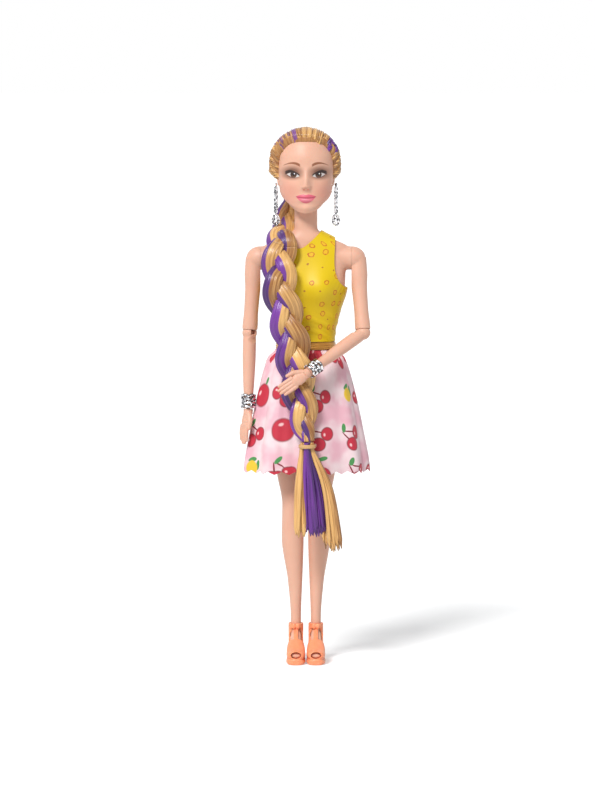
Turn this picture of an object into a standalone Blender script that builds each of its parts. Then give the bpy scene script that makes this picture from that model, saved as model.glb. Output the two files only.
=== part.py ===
"""A jointed fashion doll with a braid, a bodice, a skirt, bangles, ear drops and sandals.

The doll faces -Y and stands on the floor at z = 0. Its own left side is +X.
"""
import math

import bmesh
import bpy
from mathutils import Matrix, Vector

# Clearances and walls that several pieces share
FIT_GAP = 0.0003
OVERRUN = 0.03
PLASTIC_WALL = 0.0016

# Heights of the body's lines, each on the piece below it
LEG_LENGTH = 0.1500
CROTCH_DROP = 0.0060
TORSO_LENGTH = 0.1128
HIP_LINE_SHARE = 0.1418
WAIST_SHARE = 0.3369
RIB_SHARE = 0.4610
BUST_SHARE = 0.5851
ARMPIT_SHARE = 0.6738
SHOULDER_TOP_SHARE = 0.7846
TRAPEZIUS_SHARE = 0.8262
NECK_BASE_SHARE = 0.8777
HIP_JOINT_HEIGHT = LEG_LENGTH
CROTCH_HEIGHT = HIP_JOINT_HEIGHT - CROTCH_DROP
HIP_LINE_HEIGHT = CROTCH_HEIGHT + TORSO_LENGTH * HIP_LINE_SHARE
WAIST_HEIGHT = CROTCH_HEIGHT + TORSO_LENGTH * WAIST_SHARE
RIB_HEIGHT = CROTCH_HEIGHT + TORSO_LENGTH * RIB_SHARE
BUST_HEIGHT = CROTCH_HEIGHT + TORSO_LENGTH * BUST_SHARE
ARMPIT_HEIGHT = CROTCH_HEIGHT + TORSO_LENGTH * ARMPIT_SHARE
SHOULDER_TOP_HEIGHT = CROTCH_HEIGHT + TORSO_LENGTH * SHOULDER_TOP_SHARE
TRAPEZIUS_HEIGHT = CROTCH_HEIGHT + TORSO_LENGTH * TRAPEZIUS_SHARE
NECK_BASE_HEIGHT = CROTCH_HEIGHT + TORSO_LENGTH * NECK_BASE_SHARE
NECK_TOP_HEIGHT = CROTCH_HEIGHT + TORSO_LENGTH

# Half widths, front depths and back depths of the torso at those lines
CROTCH_HALF_WIDTH = 0.0120
CROTCH_FRONT = 0.0075
CROTCH_BACK = 0.0085
HIP_HALF_WIDTH = 0.0190
HIP_FRONT = 0.0112
HIP_BACK = 0.0138
WAIST_HALF_WIDTH = 0.0150
WAIST_FRONT = 0.0094
WAIST_BACK = 0.0090
RIB_HALF_WIDTH = 0.0178
RIB_FRONT = 0.0110
RIB_BACK = 0.0098
BUST_HALF_WIDTH = 0.0218
BUST_FRONT = 0.0120
BUST_BACK = 0.0108
BUST_SWELL = 0.0046
BUST_SPREAD = 0.0095
BUST_SPAN = 0.0085
ARMPIT_HALF_WIDTH = 0.0222
ARMPIT_FRONT = 0.0106
ARMPIT_BACK = 0.0108
SHOULDER_HALF_WIDTH = 0.0236
SHOULDER_FRONT = 0.0074
SHOULDER_BACK = 0.0084
TRAPEZIUS_HALF_WIDTH = 0.0150
TRAPEZIUS_FRONT = 0.0066
TRAPEZIUS_BACK = 0.0080
NECK_RADIUS = 0.0064
NECK_SETBACK = 0.0010

# Neck peg and head
NOD_DROP = 0.0038
NOD_HEIGHT = NECK_TOP_HEIGHT - NOD_DROP
NAPE_GAP = 0.0012
NAPE_HEIGHT = NECK_TOP_HEIGHT + NAPE_GAP
NECK_BALL_RADIUS = 0.0040
NECK_STEM_RADIUS = 0.0021
NECK_FLANGE_RADIUS = 0.0075
NECK_FLANGE_THICKNESS = 0.0014
NECK_FLANGE_RISE = 0.0028
NECK_FLANGE_HEIGHT = NAPE_HEIGHT + NECK_FLANGE_RISE
NECK_HOLE_RADIUS = 0.0071
HEAD_LENGTH = 0.0394
CHIN_DROP = 0.0065
CROWN_HEIGHT = NAPE_HEIGHT + HEAD_LENGTH
CHIN_HEIGHT = NAPE_HEIGHT - CHIN_DROP
FACE_LENGTH = CROWN_HEIGHT - CHIN_HEIGHT
HEAD_HALF_WIDTH = 0.0153
HEAD_FRONT = 0.0142
HEAD_BACK = 0.0152
HEAD_WALL = 0.0012
NOSE_SHARE = 0.370
NOSE_HEIGHT = CHIN_HEIGHT + FACE_LENGTH * NOSE_SHARE
NOSE_REACH = 0.0030
NOSE_HALF_WIDTH = 0.0019
LIP_SHARE = 0.196
LIP_HEIGHT = CHIN_HEIGHT + FACE_LENGTH * LIP_SHARE
LIP_REACH = 0.0009
EYE_SHARE = 0.473
EYE_HEIGHT = CHIN_HEIGHT + FACE_LENGTH * EYE_SHARE
EYE_SPACING = 0.0077
EYE_SOCKET = 0.0009
EAR_SHARE = 0.414
EAR_HEIGHT = CHIN_HEIGHT + FACE_LENGTH * EAR_SHARE
EAR_LENGTH = 0.0088
EAR_WIDTH = 0.0056
EAR_THICKNESS = 0.0026
EAR_SETBACK = 0.0006

# Hair
HAIR_TOP_THICKNESS = 0.0023
HAIR_SIDE_THICKNESS = 0.0050
HAIR_BACK_THICKNESS = 0.0034
HAIR_LOW_THICKNESS = 0.0012
HAIRLINE_SHARE = 0.865
HAIR_SIDE_SHARE = 0.4575
HAIR_NAPE_RISE = 0.0020
HAIRLINE_HEIGHT = CHIN_HEIGHT + FACE_LENGTH * HAIRLINE_SHARE
HAIR_SIDE_HEIGHT = CHIN_HEIGHT + FACE_LENGTH * HAIR_SIDE_SHARE
HAIR_NAPE_HEIGHT = NAPE_HEIGHT + HAIR_NAPE_RISE
PONYTAIL_HALF_WIDTH = 0.0074
PONYTAIL_HALF_DEPTH = 0.0038
HAIR_BAND_TUBE = 0.0009
BRAID_HALF_WIDTH = 0.0094
BRAID_HALF_DEPTH = 0.0044
BRAID_LOBE_LENGTH = 0.0125
BRAID_LOBE_HALF_WIDTH = 0.0056
BRAID_LOBE_COUNT = 13
TAIL_TOP_HALF_WIDTH = 0.0038
TAIL_HALF_WIDTH = 0.0118
TAIL_HALF_DEPTH = 0.0034

# Shoulders and arms
ARM_SEAM = 0.0251
SHOULDER_DISC_RADIUS = 0.0064
SHOULDER_JOINT_HEIGHT = SHOULDER_TOP_HEIGHT - SHOULDER_DISC_RADIUS + FIT_GAP
SHOULDER_BOSS_DEPTH = 0.0070
SHOULDER_DOME_REACH = 0.0076
SHOULDER_PEG_RADIUS = 0.0022
SHOULDER_PEG_HEAD_RADIUS = 0.0034
SHOULDER_PEG_HEAD_THICKNESS = 0.0014
SHOULDER_PEG_SINK = 0.0030
UPPER_ARM_TOP_RADIUS = 0.0051
UPPER_ARM_RADIUS = 0.0040
ELBOW_RIM_RADIUS = 0.0043
ELBOW_RIM_RISE = 0.0018
ELBOW_BALL_RADIUS = 0.0041
ELBOW_STEM_RADIUS = 0.0013
ELBOW_STEM_LENGTH = 0.0075
ELBOW_EYE_RADIUS = 0.0020
ELBOW_EYE_THICKNESS = 0.0016
ELBOW_AXLE_RADIUS = 0.0009
ELBOW_AXLE_HALF_LENGTH = 0.0030
ELBOW_RELIEF = 0.0015
ELBOW_SWEEP = 80
ELBOW_SLOT_MARGIN = 42
FOREARM_RADIUS = 0.0037
WRIST_RADIUS = 0.0027
WRIST_PEG_RADIUS = 0.0011
WRIST_PEG_LENGTH = 0.0060
BANGLE_WALL = 0.0008
BANGLE_WIDTH = 0.0076
BANGLE_RIB_COUNT = 4
PALM_LENGTH = 0.0102
PALM_HALF_WIDTH = 0.0036
PALM_HALF_DEPTH = 0.0017
FINGER_LENGTH = 0.0102
FINGER_RADIUS = 0.00095
THUMB_LENGTH = 0.0088

# Places of the elbows and wrists, from the shoulder joint on the arm seam
LEFT_ELBOW_FROM_SHOULDER = (0.0067, -0.0085, -0.0410)
LEFT_WRIST_FROM_ELBOW = (-0.0305, -0.0215, -0.0204)
LEFT_HAND_LINE = (-0.0160, -0.0044, -0.0110)
LEFT_THUMB_LINE = (-0.0110, 0.0, 0.0160)
RIGHT_ELBOW_FROM_SHOULDER = (-0.0063, -0.0015, -0.0416)
RIGHT_WRIST_FROM_ELBOW = (-0.0008, -0.0048, -0.0420)
RIGHT_HAND_LINE = (-0.0012, -0.0028, -0.0200)
RIGHT_THUMB_LINE = (0.0090, -0.0150, 0.0)

# Hips, legs and feet
HIP_JOINT_SPACING = 0.0089
HIP_BALL_RADIUS = 0.0070
HIP_PEG_BALL_RADIUS = 0.0028
HIP_PEG_STEM_RADIUS = 0.0014
HIP_PEG_INNER = 0.0002
HIP_SWING_FORWARD = 62
HIP_SWING_BACK = 22
PELVIS_GUSSET_HALF_THICKNESS = 0.0011
ANKLE_HEIGHT = 0.0235
LEG_ABOVE_ANKLE = HIP_JOINT_HEIGHT - ANKLE_HEIGHT
THIGH_SHARE = 0.826
THIGH_HEIGHT = ANKLE_HEIGHT + LEG_ABOVE_ANKLE * THIGH_SHARE
THIGH_HALF_WIDTH = 0.0083
THIGH_HALF_DEPTH = 0.0088
THIGH_SPACING = 0.0088
KNEE_SHARE = 0.510
KNEE_HEIGHT = ANKLE_HEIGHT + LEG_ABOVE_ANKLE * KNEE_SHARE
KNEE_HALF_WIDTH = 0.0060
KNEE_HALF_DEPTH = 0.0064
KNEE_SPACING = 0.0073
CALF_SHARE = 0.3676
CALF_HEIGHT = ANKLE_HEIGHT + LEG_ABOVE_ANKLE * CALF_SHARE
CALF_HALF_WIDTH = 0.0062
CALF_HALF_DEPTH = 0.0068
CALF_SPACING = 0.0074
SHIN_SHARE = 0.162
SHIN_HEIGHT = ANKLE_HEIGHT + LEG_ABOVE_ANKLE * SHIN_SHARE
SHIN_HALF_WIDTH = 0.0040
SHIN_HALF_DEPTH = 0.0044
SHIN_SPACING = 0.0060
ANKLE_HALF_WIDTH = 0.0029
ANKLE_HALF_DEPTH = 0.0034
FOOT_SPACING = 0.0056
ANKLE_SETBACK = 0.0030
LEG_SETBACK = 0.0006
HEEL_HALF_WIDTH = 0.0029
TOE_REACH = 0.0175
HEEL_REACH = 0.0072
HEEL_CENTRE_HEIGHT = 0.0150
TOE_CENTRE_HEIGHT = 0.0052
FOOT_HALF_HEIGHT = 0.0031

# Shoes
SHOE_WALL = 0.0010
PLATFORM_HEIGHT = 0.0031
SOLE_HALF_WIDTH = 0.0053
ANKLE_STRAP_WIDTH = 0.0028
T_BAR_HALF_WIDTH = 0.0013
PEEP_HALF_WIDTH = 0.0024
PEEP_HALF_HEIGHT = 0.0014

# Clothes
CLOTH_THICKNESS = 0.0007
BELT_THICKNESS = 0.0012
BELT_WIDTH = 0.0042
SKIRT_TOP_DROP = 0.0066
SKIRT_TOP_HEIGHT = WAIST_HEIGHT - SKIRT_TOP_DROP
BODICE_BOTTOM_HEIGHT = SKIRT_TOP_HEIGHT + BELT_WIDTH + FIT_GAP * 2
COLLAR_DROP = 0.0014
BODICE_TOP_HEIGHT = NECK_BASE_HEIGHT - COLLAR_DROP
STRAP_INNER = 0.0087
STRAP_OUTER = 0.0163
NECKLINE_LOW_HEIGHT = SHOULDER_TOP_HEIGHT - FIT_GAP
SKIRT_LENGTH = 0.0684
SKIRT_HEM_HEIGHT = SKIRT_TOP_HEIGHT - SKIRT_LENGTH
SKIRT_HEM_HALF_WIDTH = 0.0338
SKIRT_HEM_HALF_DEPTH = 0.0218
SKIRT_FOLD_COUNT = 9
SKIRT_FOLD_DEPTH = 0.0014
PINKING_COUNT = 27
PINKING_DEPTH = 0.0016
CLOSURE_WIDTH = 0.0050
CLOSURE_THICKNESS = 0.0008

# Ear drops
LOBE_SHARE = 0.72
DROP_BEAD_RADIUS = 0.0010
DROP_BEAD_COUNT = 7
DROP_BEAD_PITCH = 0.0021
PENDANT_HALF_WIDTH = 0.0024
PENDANT_HALF_HEIGHT = 0.0034
PENDANT_HALF_DEPTH = 0.0010

# Facets round the pieces
BODY_SIDES = 26
LIMB_SIDES = 12
SMALL_SIDES = 8


def clear_scene():
    for old in list(bpy.data.objects):
        bpy.data.objects.remove(old, do_unlink=True)


def plain_material(name, colour, roughness, metallic=0.0):
    material = bpy.data.materials.new(name)
    material.use_nodes = True
    shader = material.node_tree.nodes["Principled BSDF"]
    shader.inputs["Base Color"].default_value = (*colour, 1.0)
    shader.inputs["Roughness"].default_value = roughness
    shader.inputs["Metallic"].default_value = metallic
    return material


# Making closed solids
def solid_from(bm, name):
    bmesh.ops.recalc_face_normals(bm, faces=bm.faces)
    mesh = bpy.data.meshes.new(name)
    bm.to_mesh(mesh)
    bm.free()
    solid = bpy.data.objects.new(name, mesh)
    bpy.context.scene.collection.objects.link(solid)
    return solid


def loft(name, rings, closed=False):
    """Skin through rings of equal count; capped at both ends, or joined end to start."""
    bm = bmesh.new()
    loops = [[bm.verts.new(point) for point in ring] for ring in rings]
    count = len(rings[0])
    pairs = list(zip(loops, loops[1:]))
    if closed:
        pairs.append((loops[-1], loops[0]))
    for low, high in pairs:
        for i in range(count):
            j = (i + 1) % count
            bm.faces.new((low[i], low[j], high[j], high[i]))
    if not closed:
        bm.faces.new(list(reversed(loops[0])))
        bm.faces.new(loops[-1])
    return solid_from(bm, name)


def frame_along(direction, side_hint=Vector((1, 0, 0))):
    """Two unit vectors square to a direction, the first nearest the hint."""
    forward = direction.normalized()
    side = side_hint - forward * side_hint.dot(forward)
    if side.length < 1e-6:
        side = forward.orthogonal()
    side.normalize()
    return side, forward.cross(side)


def oval_ring(centre, side, across, half_side, half_across, sides):
    ring = []
    for i in range(sides):
        angle = 2 * math.pi * i / sides
        ring.append(centre + side * (half_side * math.cos(angle))
                    + across * (half_across * math.sin(angle)))
    return ring


def tube(name, stations, sides=LIMB_SIDES, side_hint=Vector((1, 0, 0))):
    """Limb or bar through stations of (centre, half width, half depth)."""
    rings = []
    for index, (centre, half_side, half_across) in enumerate(stations):
        before = stations[max(index - 1, 0)][0]
        after = stations[min(index + 1, len(stations) - 1)][0]
        side, across = frame_along(after - before, side_hint)
        rings.append(oval_ring(centre, side, across, half_side, half_across, sides))
    return loft(name, rings)


def rod(name, start, end, radius, sides=SMALL_SIDES):
    return tube(name, [(start, radius, radius), (end, radius, radius)], sides)


def ball(name, centre, radii, sides=LIMB_SIDES, turn=None):
    bm = bmesh.new()
    bmesh.ops.create_uvsphere(bm, u_segments=sides, v_segments=sides // 2 + 1, radius=1.0)
    scale = Matrix.Diagonal((*radii, 1.0))
    rotation = turn.to_4x4() if turn else Matrix.Identity(4)
    bm.transform(Matrix.Translation(centre) @ rotation @ scale)
    return solid_from(bm, name)


def block(name, low, high):
    bm = bmesh.new()
    bmesh.ops.create_cube(bm, size=1.0)
    size = Vector(high) - Vector(low)
    middle = (Vector(high) + Vector(low)) / 2
    bm.transform(Matrix.Translation(middle) @ Matrix.Diagonal((*size, 1.0)))
    return solid_from(bm, name)


def front_prism(name, outline, reach=OVERRUN):
    """Solid under an outline of (x, z) points, pushed through front to back."""
    front = [Vector((x, -reach, z)) for x, z in outline]
    back = [Vector((x, reach, z)) for x, z in outline]
    return loft(name, [front, back])


def combine(target, tools, operation):
    """Join, cut or trim a solid with others, which are used up."""
    for tool in tools:
        step = target.modifiers.new("combine", "BOOLEAN")
        step.solver = "EXACT"
        step.operation = operation
        step.object = tool
        depsgraph = bpy.context.evaluated_depsgraph_get()
        mesh = bpy.data.meshes.new_from_object(target.evaluated_get(depsgraph))
        target.modifiers.clear()
        target.data = mesh
        bpy.data.objects.remove(tool, do_unlink=True)
    return target


def finish(solid, name, material, origin=Vector((0, 0, 0)), smooth_angle=35):
    """Name a solid, give it its material and put its origin on its joint."""
    solid.name = name
    solid.data.name = name
    solid.data.materials.clear()
    solid.data.materials.append(material)
    solid.data.transform(Matrix.Translation(-origin))
    solid.location = origin
    solid.data.shade_smooth()
    solid.data.set_sharp_from_angle(angle=math.radians(smooth_angle))
    return solid


# Smooth values between named levels
def smooth_between(levels, at):
    """Values at a height, from rows of (height, value, ...), without overshoot."""
    heights = [row[0] for row in levels]
    if at <= heights[0]:
        return list(levels[0][1:])
    if at >= heights[-1]:
        return list(levels[-1][1:])
    k = max(i for i in range(len(heights) - 1) if heights[i] <= at)
    step = heights[k + 1] - heights[k]
    t = (at - heights[k]) / step
    values = []
    for column in range(1, len(levels[0])):
        def slope(i):
            if i <= 0 or i >= len(levels) - 1:
                return 0.0
            before = (levels[i][column] - levels[i - 1][column]) / (heights[i] - heights[i - 1])
            after = (levels[i + 1][column] - levels[i][column]) / (heights[i + 1] - heights[i])
            if before * after <= 0:
                return 0.0
            return 2 * before * after / (before + after)
        low = levels[k][column]
        high = levels[k + 1][column]
        a = 2 * t ** 3 - 3 * t ** 2 + 1
        b = t ** 3 - 2 * t ** 2 + t
        c = -2 * t ** 3 + 3 * t ** 2
        d = t ** 3 - t ** 2
        values.append(a * low + b * step * slope(k) + c * high + d * step * slope(k + 1))
    return values


# Torso
TORSO_LEVELS = [
    (CROTCH_HEIGHT, CROTCH_HALF_WIDTH, CROTCH_FRONT, CROTCH_BACK),
    (HIP_LINE_HEIGHT, HIP_HALF_WIDTH, HIP_FRONT, HIP_BACK),
    (WAIST_HEIGHT, WAIST_HALF_WIDTH, WAIST_FRONT, WAIST_BACK),
    (RIB_HEIGHT, RIB_HALF_WIDTH, RIB_FRONT, RIB_BACK),
    (BUST_HEIGHT, BUST_HALF_WIDTH, BUST_FRONT, BUST_BACK),
    (ARMPIT_HEIGHT, ARMPIT_HALF_WIDTH, ARMPIT_FRONT, ARMPIT_BACK),
    (SHOULDER_TOP_HEIGHT, SHOULDER_HALF_WIDTH, SHOULDER_FRONT, SHOULDER_BACK),
    (TRAPEZIUS_HEIGHT, TRAPEZIUS_HALF_WIDTH, TRAPEZIUS_FRONT, TRAPEZIUS_BACK),
    (NECK_BASE_HEIGHT, NECK_RADIUS, NECK_RADIUS - NECK_SETBACK, NECK_RADIUS + NECK_SETBACK),
    (NECK_TOP_HEIGHT, NECK_RADIUS, NECK_RADIUS - NECK_SETBACK, NECK_RADIUS + NECK_SETBACK),
]
SQUARENESS_SHARE = 0.86


def torso_point(angle, height):
    """Skin point; the angle runs from the doll's left side by its back."""
    half_width, front, back = smooth_between(TORSO_LEVELS, height)
    c = math.cos(angle)
    s = math.sin(angle)
    x = half_width * math.copysign(abs(c) ** SQUARENESS_SHARE, c)
    depth = back if s > 0 else front
    y = depth * math.copysign(abs(s) ** SQUARENESS_SHARE, s)
    if s < 0:
        fall = ((height - BUST_HEIGHT) / BUST_SPAN) ** 2
        for side in (-1, 1):
            apart = ((x - side * BUST_SPREAD) / BUST_SPAN) ** 2
            y -= BUST_SWELL * math.exp(-apart - fall) * abs(s)
    return Vector((x, y, height))


def torso_offset(angle, height, out):
    """Skin point moved out along the skin's own normal."""
    step = 0.02
    rise = (NECK_TOP_HEIGHT - CROTCH_HEIGHT) / 400
    around = torso_point(angle + step, height) - torso_point(angle - step, height)
    upward = torso_point(angle, height + rise) - torso_point(angle, height - rise)
    normal = around.cross(upward)
    normal.normalize()
    return torso_point(angle, height) + normal * out


def torso_ring(height, out=0.0, sides=BODY_SIDES, phase=0.0):
    angles = [2 * math.pi * (i + phase) / sides for i in range(sides)]
    return [torso_offset(angle, height, out) for angle in angles]


def heights_between(low, high, steps):
    return [low + (high - low) * i / steps for i in range(steps + 1)]


def hip_centre(sign):
    return Vector((sign * HIP_JOINT_SPACING, LEG_SETBACK, HIP_JOINT_HEIGHT))


def shoulder_centre(sign):
    return Vector((sign * ARM_SEAM, 0, SHOULDER_JOINT_HEIGHT))


TORSO_ROW_HEIGHTS = heights_between(CROTCH_HEIGHT, NECK_TOP_HEIGHT, 18)


def torso_skin(out=0.0):
    return loft("torso", [torso_ring(z, out) for z in TORSO_ROW_HEIGHTS])


def make_torso(skin):
    outer = torso_skin()
    bosses = []
    for sign in (-1, 1):
        seam = shoulder_centre(sign)
        inner = Vector((sign * (ARM_SEAM - SHOULDER_BOSS_DEPTH), 0, SHOULDER_JOINT_HEIGHT))
        bosses.append(rod("boss", inner, seam, SHOULDER_DISC_RADIUS, LIMB_SIDES))
    combine(outer, bosses, "UNION")
    cavity_low = HIP_LINE_HEIGHT + PLASTIC_WALL
    cavity_high = SHOULDER_TOP_HEIGHT - PLASTIC_WALL
    cavity_rings = [torso_ring(z, -PLASTIC_WALL, LIMB_SIDES)
                    for z in heights_between(cavity_low, cavity_high, 7)]
    cuts = [loft("cavity", cavity_rings)]
    for sign in (-1, 1):
        seam = shoulder_centre(sign)
        inside = Vector((sign * (ARM_SEAM - SHOULDER_BOSS_DEPTH - PLASTIC_WALL), 0, seam.z))
        cuts.append(rod("peg_hole", inside, seam * 1.0 + Vector((sign * PLASTIC_WALL, 0, 0)),
                        SHOULDER_PEG_RADIUS + FIT_GAP))
        chamber_end = Vector((sign * (ARM_SEAM - PLASTIC_WALL), 0, seam.z))
        cuts.append(rod("peg_chamber", inside, chamber_end, SHOULDER_PEG_HEAD_RADIUS + FIT_GAP))
        cuts.append(hip_sweep(sign))
        hip = hip_centre(sign)
        cuts.append(rod("hip_stem_hole", hip, Vector((0, hip.y, hip.z)), HIP_PEG_STEM_RADIUS + FIT_GAP))
    nod = Vector((0, NECK_SETBACK, NOD_HEIGHT))
    cuts.append(ball("neck_socket", nod, [NECK_BALL_RADIUS + FIT_GAP] * 3))
    top = Vector((0, NECK_SETBACK, NECK_TOP_HEIGHT + PLASTIC_WALL))
    cuts.append(tube("neck_mouth", [(nod, NECK_STEM_RADIUS + FIT_GAP, NECK_STEM_RADIUS + FIT_GAP),
                                    (top, NECK_BALL_RADIUS, NECK_BALL_RADIUS)], SMALL_SIDES))
    combine(outer, cuts, "DIFFERENCE")
    back = outer.copy()
    back.data = outer.data.copy()
    bpy.context.scene.collection.objects.link(back)
    reach = SHOULDER_HALF_WIDTH + OVERRUN
    top_z = NECK_TOP_HEIGHT + OVERRUN
    low_z = CROTCH_HEIGHT - OVERRUN
    front_side = block("side", (-reach, -OVERRUN, low_z), (reach, -FIT_GAP / 2, top_z))
    combine(outer, [front_side], "INTERSECT")
    back_side = block("side", (-reach, FIT_GAP / 2, low_z), (reach, OVERRUN, top_z))
    combine(back, [back_side], "INTERSECT")
    finish(outer, "torso_front_shell", skin)
    finish(back, "torso_back_shell", skin)


def hip_sweep(sign):
    """Room for the thigh's top between its swing limits, open to the side."""
    hip = hip_centre(sign)
    near = HIP_BALL_RADIUS + FIT_GAP
    far = near + (THIGH_HALF_DEPTH - HIP_BALL_RADIUS) * OVERRUN / (HIP_JOINT_HEIGHT - THIGH_HEIGHT)

    def beside(angle, out, down):
        swing = math.radians(angle)
        y = out * math.cos(swing) + down * math.sin(swing)
        z = out * math.sin(swing) - down * math.cos(swing)
        return hip.y + y, hip.z + z

    front = 180 - HIP_SWING_FORWARD
    outline = [beside(HIP_SWING_BACK, far, OVERRUN), beside(HIP_SWING_BACK, near, 0)]
    steps = 6
    for step in range(1, steps):
        angle = math.radians(HIP_SWING_BACK + (front - HIP_SWING_BACK) * step / steps)
        outline.append((hip.y + near * math.cos(angle), hip.z + near * math.sin(angle)))
    swing = math.radians(HIP_SWING_FORWARD)
    for out, down in ((near, 0), (far, OVERRUN)):
        outline.append((hip.y - out * math.cos(swing) - down * math.sin(swing),
                        hip.z + out * math.sin(swing) - down * math.cos(swing)))
    outline.append((hip.y - OVERRUN / 3, hip.z - OVERRUN * 1.5))
    inner = sign * PELVIS_GUSSET_HALF_THICKNESS
    outer = sign * OVERRUN
    return loft("thigh_room", [[Vector((x, y, z)) for y, z in outline] for x in (inner, outer)])


def make_neck_peg(plastic):
    nod = Vector((0, NECK_SETBACK, NOD_HEIGHT))
    peg = ball("peg", nod, [NECK_BALL_RADIUS] * 3)
    flange_top = Vector((0, NECK_SETBACK, NECK_FLANGE_HEIGHT + NECK_FLANGE_THICKNESS))
    flange_low = Vector((0, NECK_SETBACK, NECK_FLANGE_HEIGHT))
    stem = rod("stem", nod, flange_top, NECK_STEM_RADIUS)
    flange = rod("flange", flange_low, flange_top, NECK_FLANGE_RADIUS, LIMB_SIDES)
    combine(peg, [stem, flange], "UNION")
    finish(peg, "neck_peg", plastic, nod)


# Head
HEAD_PROFILE_SHARES = [
    # height, half width, front, back
    (0.00, 0.60, 0.86, 0.62),
    (0.07, 0.74, 0.93, 0.67),
    (0.16, 0.87, 0.97, 0.74),
    (0.30, 0.96, 0.99, 0.87),
    (0.48, 1.00, 0.97, 0.99),
    (0.64, 0.99, 0.97, 1.00),
    (0.79, 0.86, 0.85, 0.86),
    (0.90, 0.63, 0.62, 0.63),
    (0.97, 0.33, 0.33, 0.34),
    (1.00, 0.05, 0.05, 0.05),
]


def front_share(angle):
    """1 straight ahead, 0 from the sides back."""
    return max(0.0, -math.sin(angle)) ** 2.6


def head_point(angle, share, out=0.0):
    """Head skin; share runs from the jaw line up to the crown."""
    half_width, front, back = smooth_between(HEAD_PROFILE_SHARES, share)
    low = NAPE_HEIGHT + (CHIN_HEIGHT - NAPE_HEIGHT) * front_share(angle)
    z = low + (CROWN_HEIGHT - low) * share
    c = math.cos(angle)
    s = math.sin(angle)
    x = HEAD_HALF_WIDTH * half_width * c
    y = (HEAD_BACK * back if s > 0 else HEAD_FRONT * front) * s
    if s < 0:
        nose_x = x / NOSE_HALF_WIDTH
        nose_z = (z - NOSE_HEIGHT) / (NOSE_REACH * (1.9 if z > NOSE_HEIGHT else 0.7))
        y -= NOSE_REACH * math.exp(-nose_x ** 2 - nose_z ** 2)
        lip_z = (z - LIP_HEIGHT) / (LIP_REACH * 2.6)
        y -= LIP_REACH * math.exp(-(x / (NOSE_HALF_WIDTH * 2)) ** 2 - lip_z ** 2)
        for side in (-1, 1):
            socket_x = (x - side * EYE_SPACING) / (EYE_SPACING * 0.55)
            socket_z = (z - EYE_HEIGHT) / (EYE_SPACING * 0.42)
            y += EYE_SOCKET * math.exp(-socket_x ** 2 - socket_z ** 2)
    centre = Vector((0, 0, (CROWN_HEIGHT + NAPE_HEIGHT) / 2))
    point = Vector((x, y, z))
    if out:
        away = Vector((x, y, (z - centre.z) * 0.8))
        away.normalize()
        point += away * out
    return point


def head_angles(sides):
    """Columns closer together over the face."""
    angles = []
    for i in range(sides):
        even = 2 * math.pi * i / sides
        angles.append(even - 0.30 * math.cos(even))
    return angles


def hole_ring(radius, height, angles):
    return [Vector((radius * math.cos(a), NECK_SETBACK + radius * math.sin(a), height)) for a in angles]


HEAD_ROW_SHARES = (1.0, 0.95, 0.84, 0.68, 0.54, 0.46, 0.39, 0.33, 0.27, 0.20, 0.10, 0.0)
HEAD_INNER_SHARES = (0.12, 0.35, 0.75, 0.95)
HEAD_SIDES = 28


def head_rings(out=0.0):
    angles = head_angles(HEAD_SIDES)
    rings = [[head_point(a, share, out) for a in angles] for share in HEAD_ROW_SHARES]
    rings.append(hole_ring(NECK_HOLE_RADIUS, NAPE_HEIGHT, angles))
    return rings


def ear_solids(extra):
    ears = []
    for sign in (-1, 1):
        centre = Vector((sign * HEAD_HALF_WIDTH * 0.95, EAR_SETBACK, EAR_HEIGHT))
        turn = Matrix.Rotation(math.radians(-sign * 20), 3, "Z")
        radii = (EAR_THICKNESS / 2 + extra, EAR_WIDTH / 2 + extra, EAR_LENGTH / 2 + extra)
        ears.append(ball("ear", centre, radii, SMALL_SIDES, turn))
    return ears


def make_head(skin):
    angles = head_angles(HEAD_SIDES)
    rings = head_rings()
    rings.append(hole_ring(NECK_HOLE_RADIUS, NAPE_HEIGHT + HEAD_WALL, angles))
    for share in HEAD_INNER_SHARES:
        rings.append([head_point(a, share, -HEAD_WALL * 1.5) for a in angles])
    head = loft("head", rings)
    combine(head, ear_solids(0.0), "UNION")
    finish(head, "head_shell", skin, Vector((0, NECK_SETBACK, NOD_HEIGHT)), 60)


# Hair
def hairline_share(angle):
    """Where the hair starts on the head at an angle, as a share of the head's height."""
    ahead = max(0.0, -math.sin(angle))
    behind = max(0.0, math.sin(angle))
    side = HAIR_SIDE_HEIGHT
    height = side + (HAIRLINE_HEIGHT - side) * min(1.0, ahead * 1.35) ** 0.7
    height += (HAIR_NAPE_HEIGHT - side) * behind ** 0.6
    low = NAPE_HEIGHT + (CHIN_HEIGHT - NAPE_HEIGHT) * front_share(angle)
    return (height - low) / (CROWN_HEIGHT - low)


def hair_thickness(angle, rise, height):
    """Thickness over the head; rise runs from the hairline to the crown."""
    side = abs(math.cos(angle)) ** 1.5
    behind = max(0.0, math.sin(angle))
    full = HAIR_TOP_THICKNESS + (HAIR_SIDE_THICKNESS - HAIR_TOP_THICKNESS) * side
    full += (HAIR_BACK_THICKNESS - HAIR_TOP_THICKNESS) * behind
    full += (HAIR_TOP_THICKNESS - full) * rise ** 1.5
    lift = min(1.0, max(0.0, (height - EAR_HEIGHT) / (HAIR_SIDE_HEIGHT - EAR_HEIGHT + HAIR_SIDE_THICKNESS)))
    return HAIR_LOW_THICKNESS + (full - HAIR_LOW_THICKNESS) * lift ** 0.6


HAIR_ROW_SHARES = (1.0, 0.86, 0.66, 0.46, 0.28, 0.12, 0.0)
HAIR_SIDES = 26


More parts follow.
